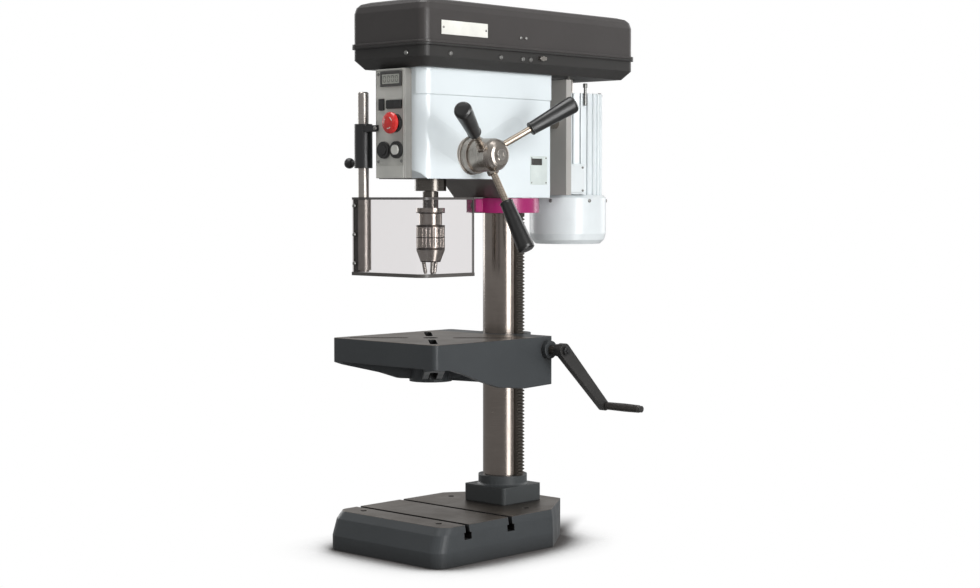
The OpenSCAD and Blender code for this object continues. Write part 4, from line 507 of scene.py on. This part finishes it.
# the nodes that each look goes on
NODES_OF_LOOK = {
    "table": ["table_casting"],
    "base": ["base_casting"],
    "flange": ["column_flange"],
    "bolt": ["flange_bolts", "set_screws", "pan_screws", "hinge_pins"],
    "column": ["column"],
    "collar": ["rack_collar"],
    "rack": ["lift_rack", "lift_gear", "crank_shaft"],
    "head": ["head_casting"],
    "panel": ["control_box"],
    "display": ["display_window"],
    "black": ["button_bezels", "stop_button", "light_switch", "speed_switch", "guard_knob", "table_lock"],
    "grip": ["feed_grips"],
    "red": ["estop_button"],
    "pale": ["start_button"],
    "bright": ["quill_bearings", "chuck_jaw_a", "chuck_jaw_b", "chuck_jaw_c", "feed_shaft", "sleeve_bearings",
               "slide_rods", "motor_rotor", "lid_latch"],
    "quill": ["quill", "spindle"],
    "chuck": ["chuck_body", "chuck_sleeve"],
    "hub": ["feed_hub", "depth_ring"],
    "spoke": ["feed_spokes"],
    "rod": ["guard_rod"],
    "bronze": ["feed_bush"],
    "spring": ["return_spring"],
    "crank": ["crank_arm"],
    "crankgrip": ["crank_grip"],
    "blackmetal": ["spring_cup", "guard_bracket", "motor_fan"],
    "pulley": ["drive_sleeve", "spindle_pulley", "motor_pulley"],
    "belt": ["drive_belt"],
    "motor": ["motor_housing", "motor_cowl", "terminal_box"],
    "saddle": ["motor_plate"],
    "pan": ["belt_pan"],
    "lid": ["belt_lid"],
    "guard": ["guard_frame"],
    "clear": ["guard_shield"],
}
for look, names in NODES_OF_LOOK.items():
    for name in names:
        nodes[name].data.materials.clear()
        nodes[name].data.materials.append(LOOKS[look])


# mesh helpers for the small fitted pieces
def piece(name, bm, look, body):
    mesh = bpy.data.meshes.new(name)
    bmesh.ops.recalc_face_normals(bm, faces=bm.faces)
    bm.to_mesh(mesh)
    bm.free()
    o = bpy.data.objects.new(name, mesh)
    bpy.context.collection.objects.link(o)
    mesh.materials.append(LOOKS[look])
    mesh.polygons.foreach_set("use_smooth", [True] * len(mesh.polygons))
    mesh.set_sharp_from_angle(angle=SMOOTH_ANGLE)
    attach(o, body)


def facing(place, normal):
    """A frame at the place whose Z axis is the normal."""
    return Matrix.Translation(Vector(place)) @ Vector(normal).to_track_quat("Z", "Y").to_matrix().to_4x4()


def ring_of_points(bm, place, r, h, n):
    turns = [math.tau * i / n for i in range(n)]
    return [bm.verts.new(place @ Vector((r * math.cos(a), r * math.sin(a), h))) for a in turns]


def turned(bm, profile, place, steps):
    """A turned form from pairs of radius and height."""
    rings = [ring_of_points(bm, place, r, h, steps if r > 0 else 1) for r, h in profile]
    for a, b in zip(rings, rings[1:]):
        for i in range(max(len(a), len(b))):
            quad = [a[i % len(a)], a[(i + 1) % len(a)], b[(i + 1) % len(b)], b[i % len(b)]]
            bm.faces.new(list(dict.fromkeys(quad)))


def slab(bm, size, place, round_edge, segments):
    made = bmesh.ops.create_cube(bm, size=1.0, matrix=place @ Matrix.Diagonal((*size, 1)))
    edges = list({e for v in made["verts"] for e in v.link_edges})
    bmesh.ops.bevel(bm, geom=edges, offset=round_edge, segments=segments, affect="EDGES", profile=0.5)


def screw_head(bm, place, r):
    """Domed round head with a cross on it."""
    dome = [(r * 1.02, -0.0004), (r, r * 0.25), (r * 0.86, r * 0.5), (r * 0.5, r * 0.64), (0, r * 0.68)]
    turned(bm, dome, place, steps=24)
    for turn in (0, math.pi / 2):
        bar = place @ Matrix.Translation((0, 0, r * 0.62)) @ Matrix.Rotation(turn, 4, "Z")
        slab(bm, (r * 1.1, r * 0.26, r * 0.2), bar, round_edge=r * 0.05, segments=1)


def hex_nut(bm, place, r, h):
    """Six-sided nut with the round end of its screw standing out of it."""
    nut = [(r * 0.9, 0), (r, h * 0.14), (r, h * 0.86), (r * 0.9, h)]
    screw = [(r * 0.55, h), (r * 0.55, h * 1.5)]
    rings = [ring_of_points(bm, place, radius, z, 6) for radius, z in nut]
    rings += [ring_of_points(bm, place, radius, z, 24) for radius, z in screw]
    rings += [ring_of_points(bm, place, 0, h * 1.6, 1)]
    for a, b in zip(rings, rings[1:]):
        share = len(b) // len(a)
        for i in range(len(a)):
            after = (i + 1) % len(a)
            if len(b) == len(a):
                bm.faces.new([a[i], a[after], b[after], b[i]])
            elif len(b) == 1:
                bm.faces.new([a[i], a[after], b[0]])
            else:
                for j in range(i * share, (i + 1) * share):
                    bm.faces.new([a[i], b[(j + 1) % len(b)], b[j]])
                bm.faces.new([a[i], a[after], b[after * share]])


# small pieces of the belt cover and the head
def cover_plates():
    label_x, label_y, label_z, label_length = 0.0922, -0.194, 0.9175, 0.114
    bm = bmesh.new()
    slab(bm, (0.0008, label_length, 0.024), Matrix.Translation((label_x, label_y, label_z)),
         round_edge=0.0003, segments=2)
    piece("cover_blank_label", bm, "label", "lid")

    label_rivet = [(0.0022, 0), (0.002, 0.0007), (0.0011, 0.0012), (0, 0.0013)]
    side_rivet = [(0.003, 0), (0.0027, 0.001), (0.0014, 0.0018), (0, 0.002)]
    side_rivet_x, side_rivet_z = 0.0919, 0.911
    rivet_inset = 0.0045
    rivet_reach = label_length / 2 - rivet_inset
    bm = bmesh.new()
    for y in (label_y - rivet_reach, label_y + rivet_reach):
        turned(bm, label_rivet, facing((label_x + 0.0003, y, label_z), RIGHT), steps=16)
    for y in (-0.051, -0.037):
        turned(bm, side_rivet, facing((side_rivet_x, y, side_rivet_z), RIGHT), steps=20)
    piece("cover_rivets", bm, "bolt", "lid")


def head_plate():
    plate_x, plate_y, plate_z = 0.0642, 0.0275, 0.677
    bm = bmesh.new()
    slab(bm, (0.0008, 0.046, 0.052), Matrix.Translation((plate_x, plate_y, plate_z)),
         round_edge=0.0003, segments=2)
    piece("head_blank_plate", bm, "plate", "frame")

    field_y, field_z = 0.0215, 0.6925
    bm = bmesh.new()
    slab(bm, (0.0003, 0.029, 0.012), Matrix.Translation((plate_x + 0.0005, field_y, field_z)),
         round_edge=0.0001, segments=1)
    piece("head_plate_field", bm, "display", "frame")

    rivet = [(0.0016, 0), (0.0014, 0.0006), (0, 0.001)]
    rivet_aside, rivet_up = 0.0195, 0.0225
    bm = bmesh.new()
    for y in (plate_y - rivet_aside, plate_y + rivet_aside):
        for z in (plate_z - rivet_up, plate_z + rivet_up):
            turned(bm, rivet, facing((plate_x + 0.0003, y, z), RIGHT), steps=14)
    piece("head_plate_rivets", bm, "bolt", "frame")


# small pieces of the control cover
def panel_screws():
    screw_x, low_z, high_z = 0.0285, 0.690, 0.8405
    bm = bmesh.new()
    for x, z in ((-screw_x, low_z), (-screw_x, high_z), (screw_x, low_z)):
        screw_head(bm, facing((x, PANEL_FACE_Y, z), FRONT), r=0.0026)
    piece("panel_screws", bm, "bolt", "frame")


def display_details():
    display_z = 0.8315
    bm = bmesh.new()
    slab(bm, (0.0425, 0.0006, 0.0165), Matrix.Translation((0.004, PANEL_FACE_Y - 0.002, display_z)),
         round_edge=0.0002, segments=1)
    piece("display_glass", bm, "lcd", "frame")

    digits, first_x, pitch = 4, -0.0112, 0.0101
    width, height, stroke = 0.0056, 0.0102, 0.0011
    upright = height / 2 - stroke
    strokes = [(0, height / 2, width, stroke), (0, -height / 2, width, stroke)]
    strokes += [(x, z, stroke, upright) for z in (height / 4, -height / 4) for x in (-width / 2, width / 2)]
    bm = bmesh.new()
    for k in range(digits):
        for x, z, wide, tall in strokes:
            place = Matrix.Translation((first_x + k * pitch + x, PANEL_FACE_Y - 0.0024, display_z + z))
            slab(bm, (wide * 0.9, 0.0002, tall * 0.9), place, round_edge=0.00005, segments=1)
    piece("display_digits", bm, "black", "frame")


def button_details():
    start_x, stop_x, button_z = 0.0185, -0.013, 0.7095
    washer = [(0.0152, 0), (0.0152, 0.0006), (0.0146, 0.001), (0.0142, 0.001), (0.0141, 0.0005), (0.0141, 0)]
    bm = bmesh.new()
    for x in (start_x, stop_x):
        turned(bm, washer, facing((x, PANEL_FACE_Y, button_z), FRONT), steps=48)
    piece("bezel_washers", bm, "bolt", "frame")

    arrows, first_turn, arrow_radius = 3, 0.4, 0.0098
    steps, step_turn = 5, 0.17
    knob = facing((0.015, -0.3042, 0.7555), FRONT)
    bm = bmesh.new()
    for k in range(arrows):
        start = knob @ Matrix.Rotation(first_turn + math.tau * k / arrows, 4, "Z")
        for a in range(steps):
            turn = start @ Matrix.Rotation(a * step_turn, 4, "Z")
            place = turn @ Matrix.Translation((arrow_radius, 0, 0.0003))
            slab(bm, (0.0016, 0.0019, 0.0006), place, round_edge=0.0002, segments=1)
    piece("stop_turn_arrows", bm, "pale", "estop")


# small pieces of the feed
def depth_ring_details():
    feed_axis = Matrix.Translation((0, FEED_Y, FEED_Z))
    marks, long_every, long_mark, short_mark = 60, 5, 0.0062, 0.0036
    mark_x, mark_radius, mark_width = 0.0668, 0.03205, 0.0003
    bm = bmesh.new()
    for k in range(marks):
        turn = feed_axis @ Matrix.Rotation(math.tau * k / marks, 4, "X")
        length = short_mark if k % long_every else long_mark
        place = turn @ Matrix.Translation((mark_x + length / 2, 0, mark_radius))
        slab(bm, (length, mark_width, mark_width), place, round_edge=0.00006, segments=1)
    piece("depth_ring_marks", bm, "black", "depth_ring")

    thumbscrew = [(0.0024, 0), (0.0024, 0.003), (0.0042, 0.0034), (0.0046, 0.0042), (0.0046, 0.0078),
                  (0.0041, 0.0086), (0, 0.0088)]
    screw_turn, screw_x, screw_radius = math.radians(-62), 0.0735, 0.0316
    bm = bmesh.new()
    turn = feed_axis @ Matrix.Rotation(screw_turn, 4, "X")
    turned(bm, thumbscrew, turn @ Matrix.Translation((screw_x, 0, screw_radius)), steps=28)
    piece("depth_ring_thumbscrew", bm, "bolt", "depth_ring")


def feed_handle():
    """The hub's cap, and the nut and the grip's end ring on each of the three bars."""
    bars, first_turn, tilt = 3, 34, math.radians(28)
    bar_root_x, bar_reach = 0.09714, 0.165 / math.cos(tilt)
    cap_profile = [(0.0112, -0.0006), (0.0112, 0.0012), (0.0102, 0.0021), (0.0052, 0.0021), (0.005, 0.0012),
                   (0, 0.0012)]
    nut_profile = [(0.0104, 0.028), (0.0104, 0.0362), (0.0094, 0.0378), (0.006, 0.0382)]
    ring_profile = [(0.008, -0.0948), (0.0113, -0.0944), (0.0122, -0.0932), (0.0122, -0.0914),
                    (0.0114, -0.0904)]
    cap, nuts, rings = bmesh.new(), bmesh.new(), bmesh.new()
    turned(cap, cap_profile, facing((HUB_END_X, FEED_Y, FEED_Z), RIGHT), steps=40)
    for k in range(bars):
        turn = math.radians(first_turn + 360 / bars * k)
        out = (math.sin(tilt), math.cos(tilt) * math.cos(turn), math.cos(tilt) * math.sin(turn))
        bar = facing((bar_root_x, FEED_Y, FEED_Z), out)
        turned(nuts, nut_profile, bar, steps=6)
        turned(rings, ring_profile, bar @ Matrix.Translation((0, 0, bar_reach)), steps=40)
    piece("feed_hub_cap", cap, "bright", "feed")
    piece("feed_bar_nuts", nuts, "hub", "feed")
    piece("feed_grip_rings", rings, "grip", "feed")


# small pieces of the guard, the motor and the table
def guard_details():
    strip_x = -0.080
    bm = bmesh.new()
    for z in (0.512, 0.5625, 0.613):
        screw_head(bm, facing((strip_x, SHIELD_FACE_Y - 0.0001, z), FRONT), r=0.0036)
    piece("shield_screws", bm, "bolt", "guard_shield")

    arm_face = (-0.031, -0.2911, 0.7475)
    bm = bmesh.new()
    screw_head(bm, facing(arm_face, FRONT), r=0.0038)
    piece("guard_arm_screw", bm, "bolt", "frame")


def outward(turn):
    """The level direction that a turn about the motor's axis, in degrees, points in."""
    return Vector((math.cos(math.radians(turn)), math.sin(math.radians(turn)), 0))


def motor_details():
    motor_axis = Vector((0, MOTOR_Y, 0))
    bolt_ring, cowl_radius, terminal_radius = 0.0648, 0.0728, 0.082
    stud_turn, terminal_turn = -19, -40

    tie_bolt, nut_height = [(0.0026, 0.634), (0.0026, 0.822)], 0.8195
    bm = bmesh.new()
    for turn in (-62, -118, 62, 118):
        place = Matrix.Translation(motor_axis + outward(turn) * bolt_ring)
        turned(bm, tie_bolt, place, steps=14)
        hex_nut(bm, place @ Matrix.Translation((0, 0, nut_height)), r=0.0058, h=0.005)
    piece("motor_tie_bolts", bm, "bolt", "motor")

    stud = [(0.0028, 0.80), (0.0028, 0.833), (0.0042, 0.8335), (0.0042, 0.84), (0.0036, 0.841), (0, 0.841)]
    bm = bmesh.new()
    turned(bm, stud, Matrix.Translation(motor_axis + outward(stud_turn) * bolt_ring), steps=20)
    piece("motor_stud", bm, "bolt", "motor")

    cowl_screw_height = Vector((0, 0, 0.6215))
    bm = bmesh.new()
    for turn in (-75, -15, 45, 105, 165, 225):
        out = outward(turn)
        screw_head(bm, facing(motor_axis + out * cowl_radius + cowl_screw_height, out), r=0.0034)
    piece("cowl_screws", bm, "bolt", "motor")

    out = outward(terminal_turn)
    side = Vector((-out.y, out.x, 0))
    box_face = motor_axis + out * terminal_radius + Vector((0, 0, 0.662))
    bm = bmesh.new()
    for across in (-0.0155, 0.0155):
        for up in (-0.0215, 0.0215):
            screw_head(bm, facing(box_face + side * across + Vector((0, 0, up)), out), r=0.0022)
    piece("terminal_screws", bm, "bolt", "motor")


def table_details():
    bm = bmesh.new()
    hex_nut(bm, facing((CRANK_END_X, CRANK_Y, CRANK_Z), RIGHT), r=0.0088, h=0.006)
    piece("crank_nut", bm, "blackmetal", "crank")


cover_plates()
head_plate()
panel_screws()
display_details()
button_details()
depth_ring_details()
feed_handle()
guard_details()
motor_details()
table_details()


# the studio
def seen_or_shone_through(tree, path):
    return plus(tree, path["Is Camera Ray"], path["Is Transmission Ray"], clamp=True)


def studio_world():
    """White where it is seen, less bright in reflections and dim as a light."""
    world = bpy.data.worlds.new("studio")
    bpy.context.scene.world = world
    world.use_nodes = True
    tree = world.node_tree
    dim = tree.nodes["Background"]
    mirrored = tree.nodes.new("ShaderNodeBackground")
    seen = tree.nodes.new("ShaderNodeBackground")
    for back, strength in ((dim, 0.2), (mirrored, 0.55), (seen, 1.0)):
        back.inputs[0].default_value = grey(1)
        back.inputs[1].default_value = strength
    path = tree.nodes.new("ShaderNodeLightPath").outputs
    unseen = mix_shader(tree, path["Is Glossy Ray"], dim.outputs[0], mirrored.outputs[0])
    both = mix_shader(tree, seen_or_shone_through(tree, path), unseen, seen.outputs[0])
    tree.links.new(both, tree.nodes["World Output"].inputs["Surface"])


def beyond(tree, value, low, high):
    """How far a value lies outside low and high."""
    off = size_of(tree, minus(tree, value, (low + high) / 2))
    return math_node(tree, "MAXIMUM", minus(tree, off, (high - low) / 2), 0.0)


def shaded_patch(tree, x, y):
    """Painted shadow on the floor behind the base: how dark it is, from 0 to 1."""
    cosine, sine = math.cos(PHOTO_TURN), math.sin(PHOTO_TURN)
    aside = plus(tree, times(tree, x, cosine), times(tree, y, sine))
    away = minus(tree, times(tree, y, cosine), times(tree, x, sine))
    inside_rim = minus(tree, times(tree, away, 0.18), minus(tree, aside, 0.115))
    patch = ramp(tree, inside_rim, -0.018, 0.018, 0.0, 1.0)
    patch = times(tree, patch, ramp(tree, away, 0.04, 0.26, 1.0, 0.0))
    patch = times(tree, patch, ramp(tree, away, -0.13, -0.09, 0.0, 0.92))
    return times(tree, patch, ramp(tree, aside, -0.02, 0.04, 0.0, 1.0))


def painted_glow_strip(tree, x, y):
    """Brightness of the floor in reflections, with a painted glowing strip in line with the side lamp."""
    slope = math_node(tree, "DIVIDE", y, math_node(tree, "MAXIMUM", x, 0.1))
    off_line = size_of(tree, plus(tree, slope, 0.21))
    strip = times(tree, ramp(tree, off_line, 0.14, 0.24, 1.0, 0.0), ramp(tree, x, 0.3, 0.6, 0.0, 5.5))
    return plus(tree, strip, 0.38)


def studio_floor():
    """White floor with painted shadow round the base and behind it, and a painted glowing strip that polished
    metal shows.
    """
    bpy.ops.mesh.primitive_plane_add(size=14, location=(0, 0, -0.0005))
    floor = bpy.context.object
    floor.name = "floor"
    mat, tree, bsdf = new_material("studio_floor")
    look = add_group(tree, PAINT, Paint=grey(0.97), Worn=grey(0.9), Rough=0.7, Texture_Size=40.0,
                     Edge_Wear=0.0, Mottle=0.1)
    hook_up(tree, bsdf, look, bump=0.02, depth=0.0003)
    tree.links.new(mix_colour(tree, 0.55, look["Color"], grey(0.05)), bsdf.inputs["Base Color"])
    at = parted(tree, surface(tree, "Position"))
    x, y = at["X"], at["Y"]

    # painted shadow: the white floor goes towards near black where the base stands close, from ambient
    # occlusion, and in the patch behind the base
    free_of_painted_contact_shadow = ramp(tree, openness(tree, distance=0.12, samples=12), 0.64, 0.96, 0.0, 1.0)
    painted_floor_light = times(tree, free_of_painted_contact_shadow, minus(tree, 1.0, shaded_patch(tree, x, y)))
    white = tree.nodes.new("ShaderNodeEmission")
    tree.links.new(mix_colour(tree, painted_floor_light, (0.04, 0.035, 0.033, 1), grey(1)), white.inputs["Color"])

    off_x = math_node(tree, "POWER", beyond(tree, x, BASE_LOW[0], BASE_HIGH[0]), 2.0)
    off_y = math_node(tree, "POWER", beyond(tree, y, BASE_LOW[1], BASE_HIGH[1]), 2.0)
    clear_of_base = math_node(tree, "SQRT", plus(tree, off_x, off_y))
    fade = ramp(tree, clear_of_base, 0.0, 0.04, 0.85, 1.0)
    path = tree.nodes.new("ShaderNodeLightPath").outputs
    shown = times(tree, seen_or_shone_through(tree, path), fade)
    board = mix_shader(tree, shown, bsdf.outputs[0], white.outputs[0])

    # painted reflection: for reflected rays the floor glows, brightest in a strip in line with the side lamp
    mirrored = tree.nodes.new("ShaderNodeEmission")
    tree.links.new(painted_glow_strip(tree, x, y), mirrored.inputs["Strength"])
    both = mix_shader(tree, path["Is Glossy Ray"], board, mirrored.outputs[0])
    tree.links.new(both, tree.nodes["Material Output"].inputs["Surface"])
    floor.data.materials.append(mat)


def studio_lamps():
    # each lamp's name, place, aim, width and height in metres, and power in watts
    lamps = (
        ("side_box", (3.0, -0.63, 1.3), (0, 0, 0.5), (1.25, 2.2), 88),
        ("front_box", (-0.6, -3.2, 2.2), (0, -0.1, 0.5), (1.8, 1.6), 4),
        ("left_box", (-3.0, 0.4, 1.3), (0, 0, 0.5), (1.4, 2.0), 26),
        ("rear_box", (0.3, 3.1, 1.4), (0, 0, 0.5), (1.6, 2.0), 26),
        ("top_box", (-0.3, -0.5, 3.4), (0, 0, 0), (2.0, 2.0), 66),
    )
    for name, place, aim, size, watts in lamps:
        lamp = bpy.data.lights.new(name, "AREA")
        lamp.shape = "RECTANGLE"
        lamp.size, lamp.size_y = size
        lamp.energy = watts
        o = bpy.data.objects.new(name, lamp)
        bpy.context.collection.objects.link(o)
        o.location = place
        o.rotation_euler = (Vector(aim) - Vector(place)).to_track_quat("-Z", "Y").to_euler()


def photo_camera():
    cam = bpy.data.cameras.new("camera")
    cam.lens = 67.48
    cam.sensor_width = 36.0
    o = bpy.data.objects.new("camera", cam)
    bpy.context.collection.objects.link(o)
    o.location = (2.3128, -2.4738, 0.6272)
    o.rotation_euler = (math.radians(87.0), 0, PHOTO_TURN)
    bpy.context.scene.camera = o


studio_world()
studio_floor()
studio_lamps()
photo_camera()
bpy.context.scene.view_settings.view_transform = "Standard"
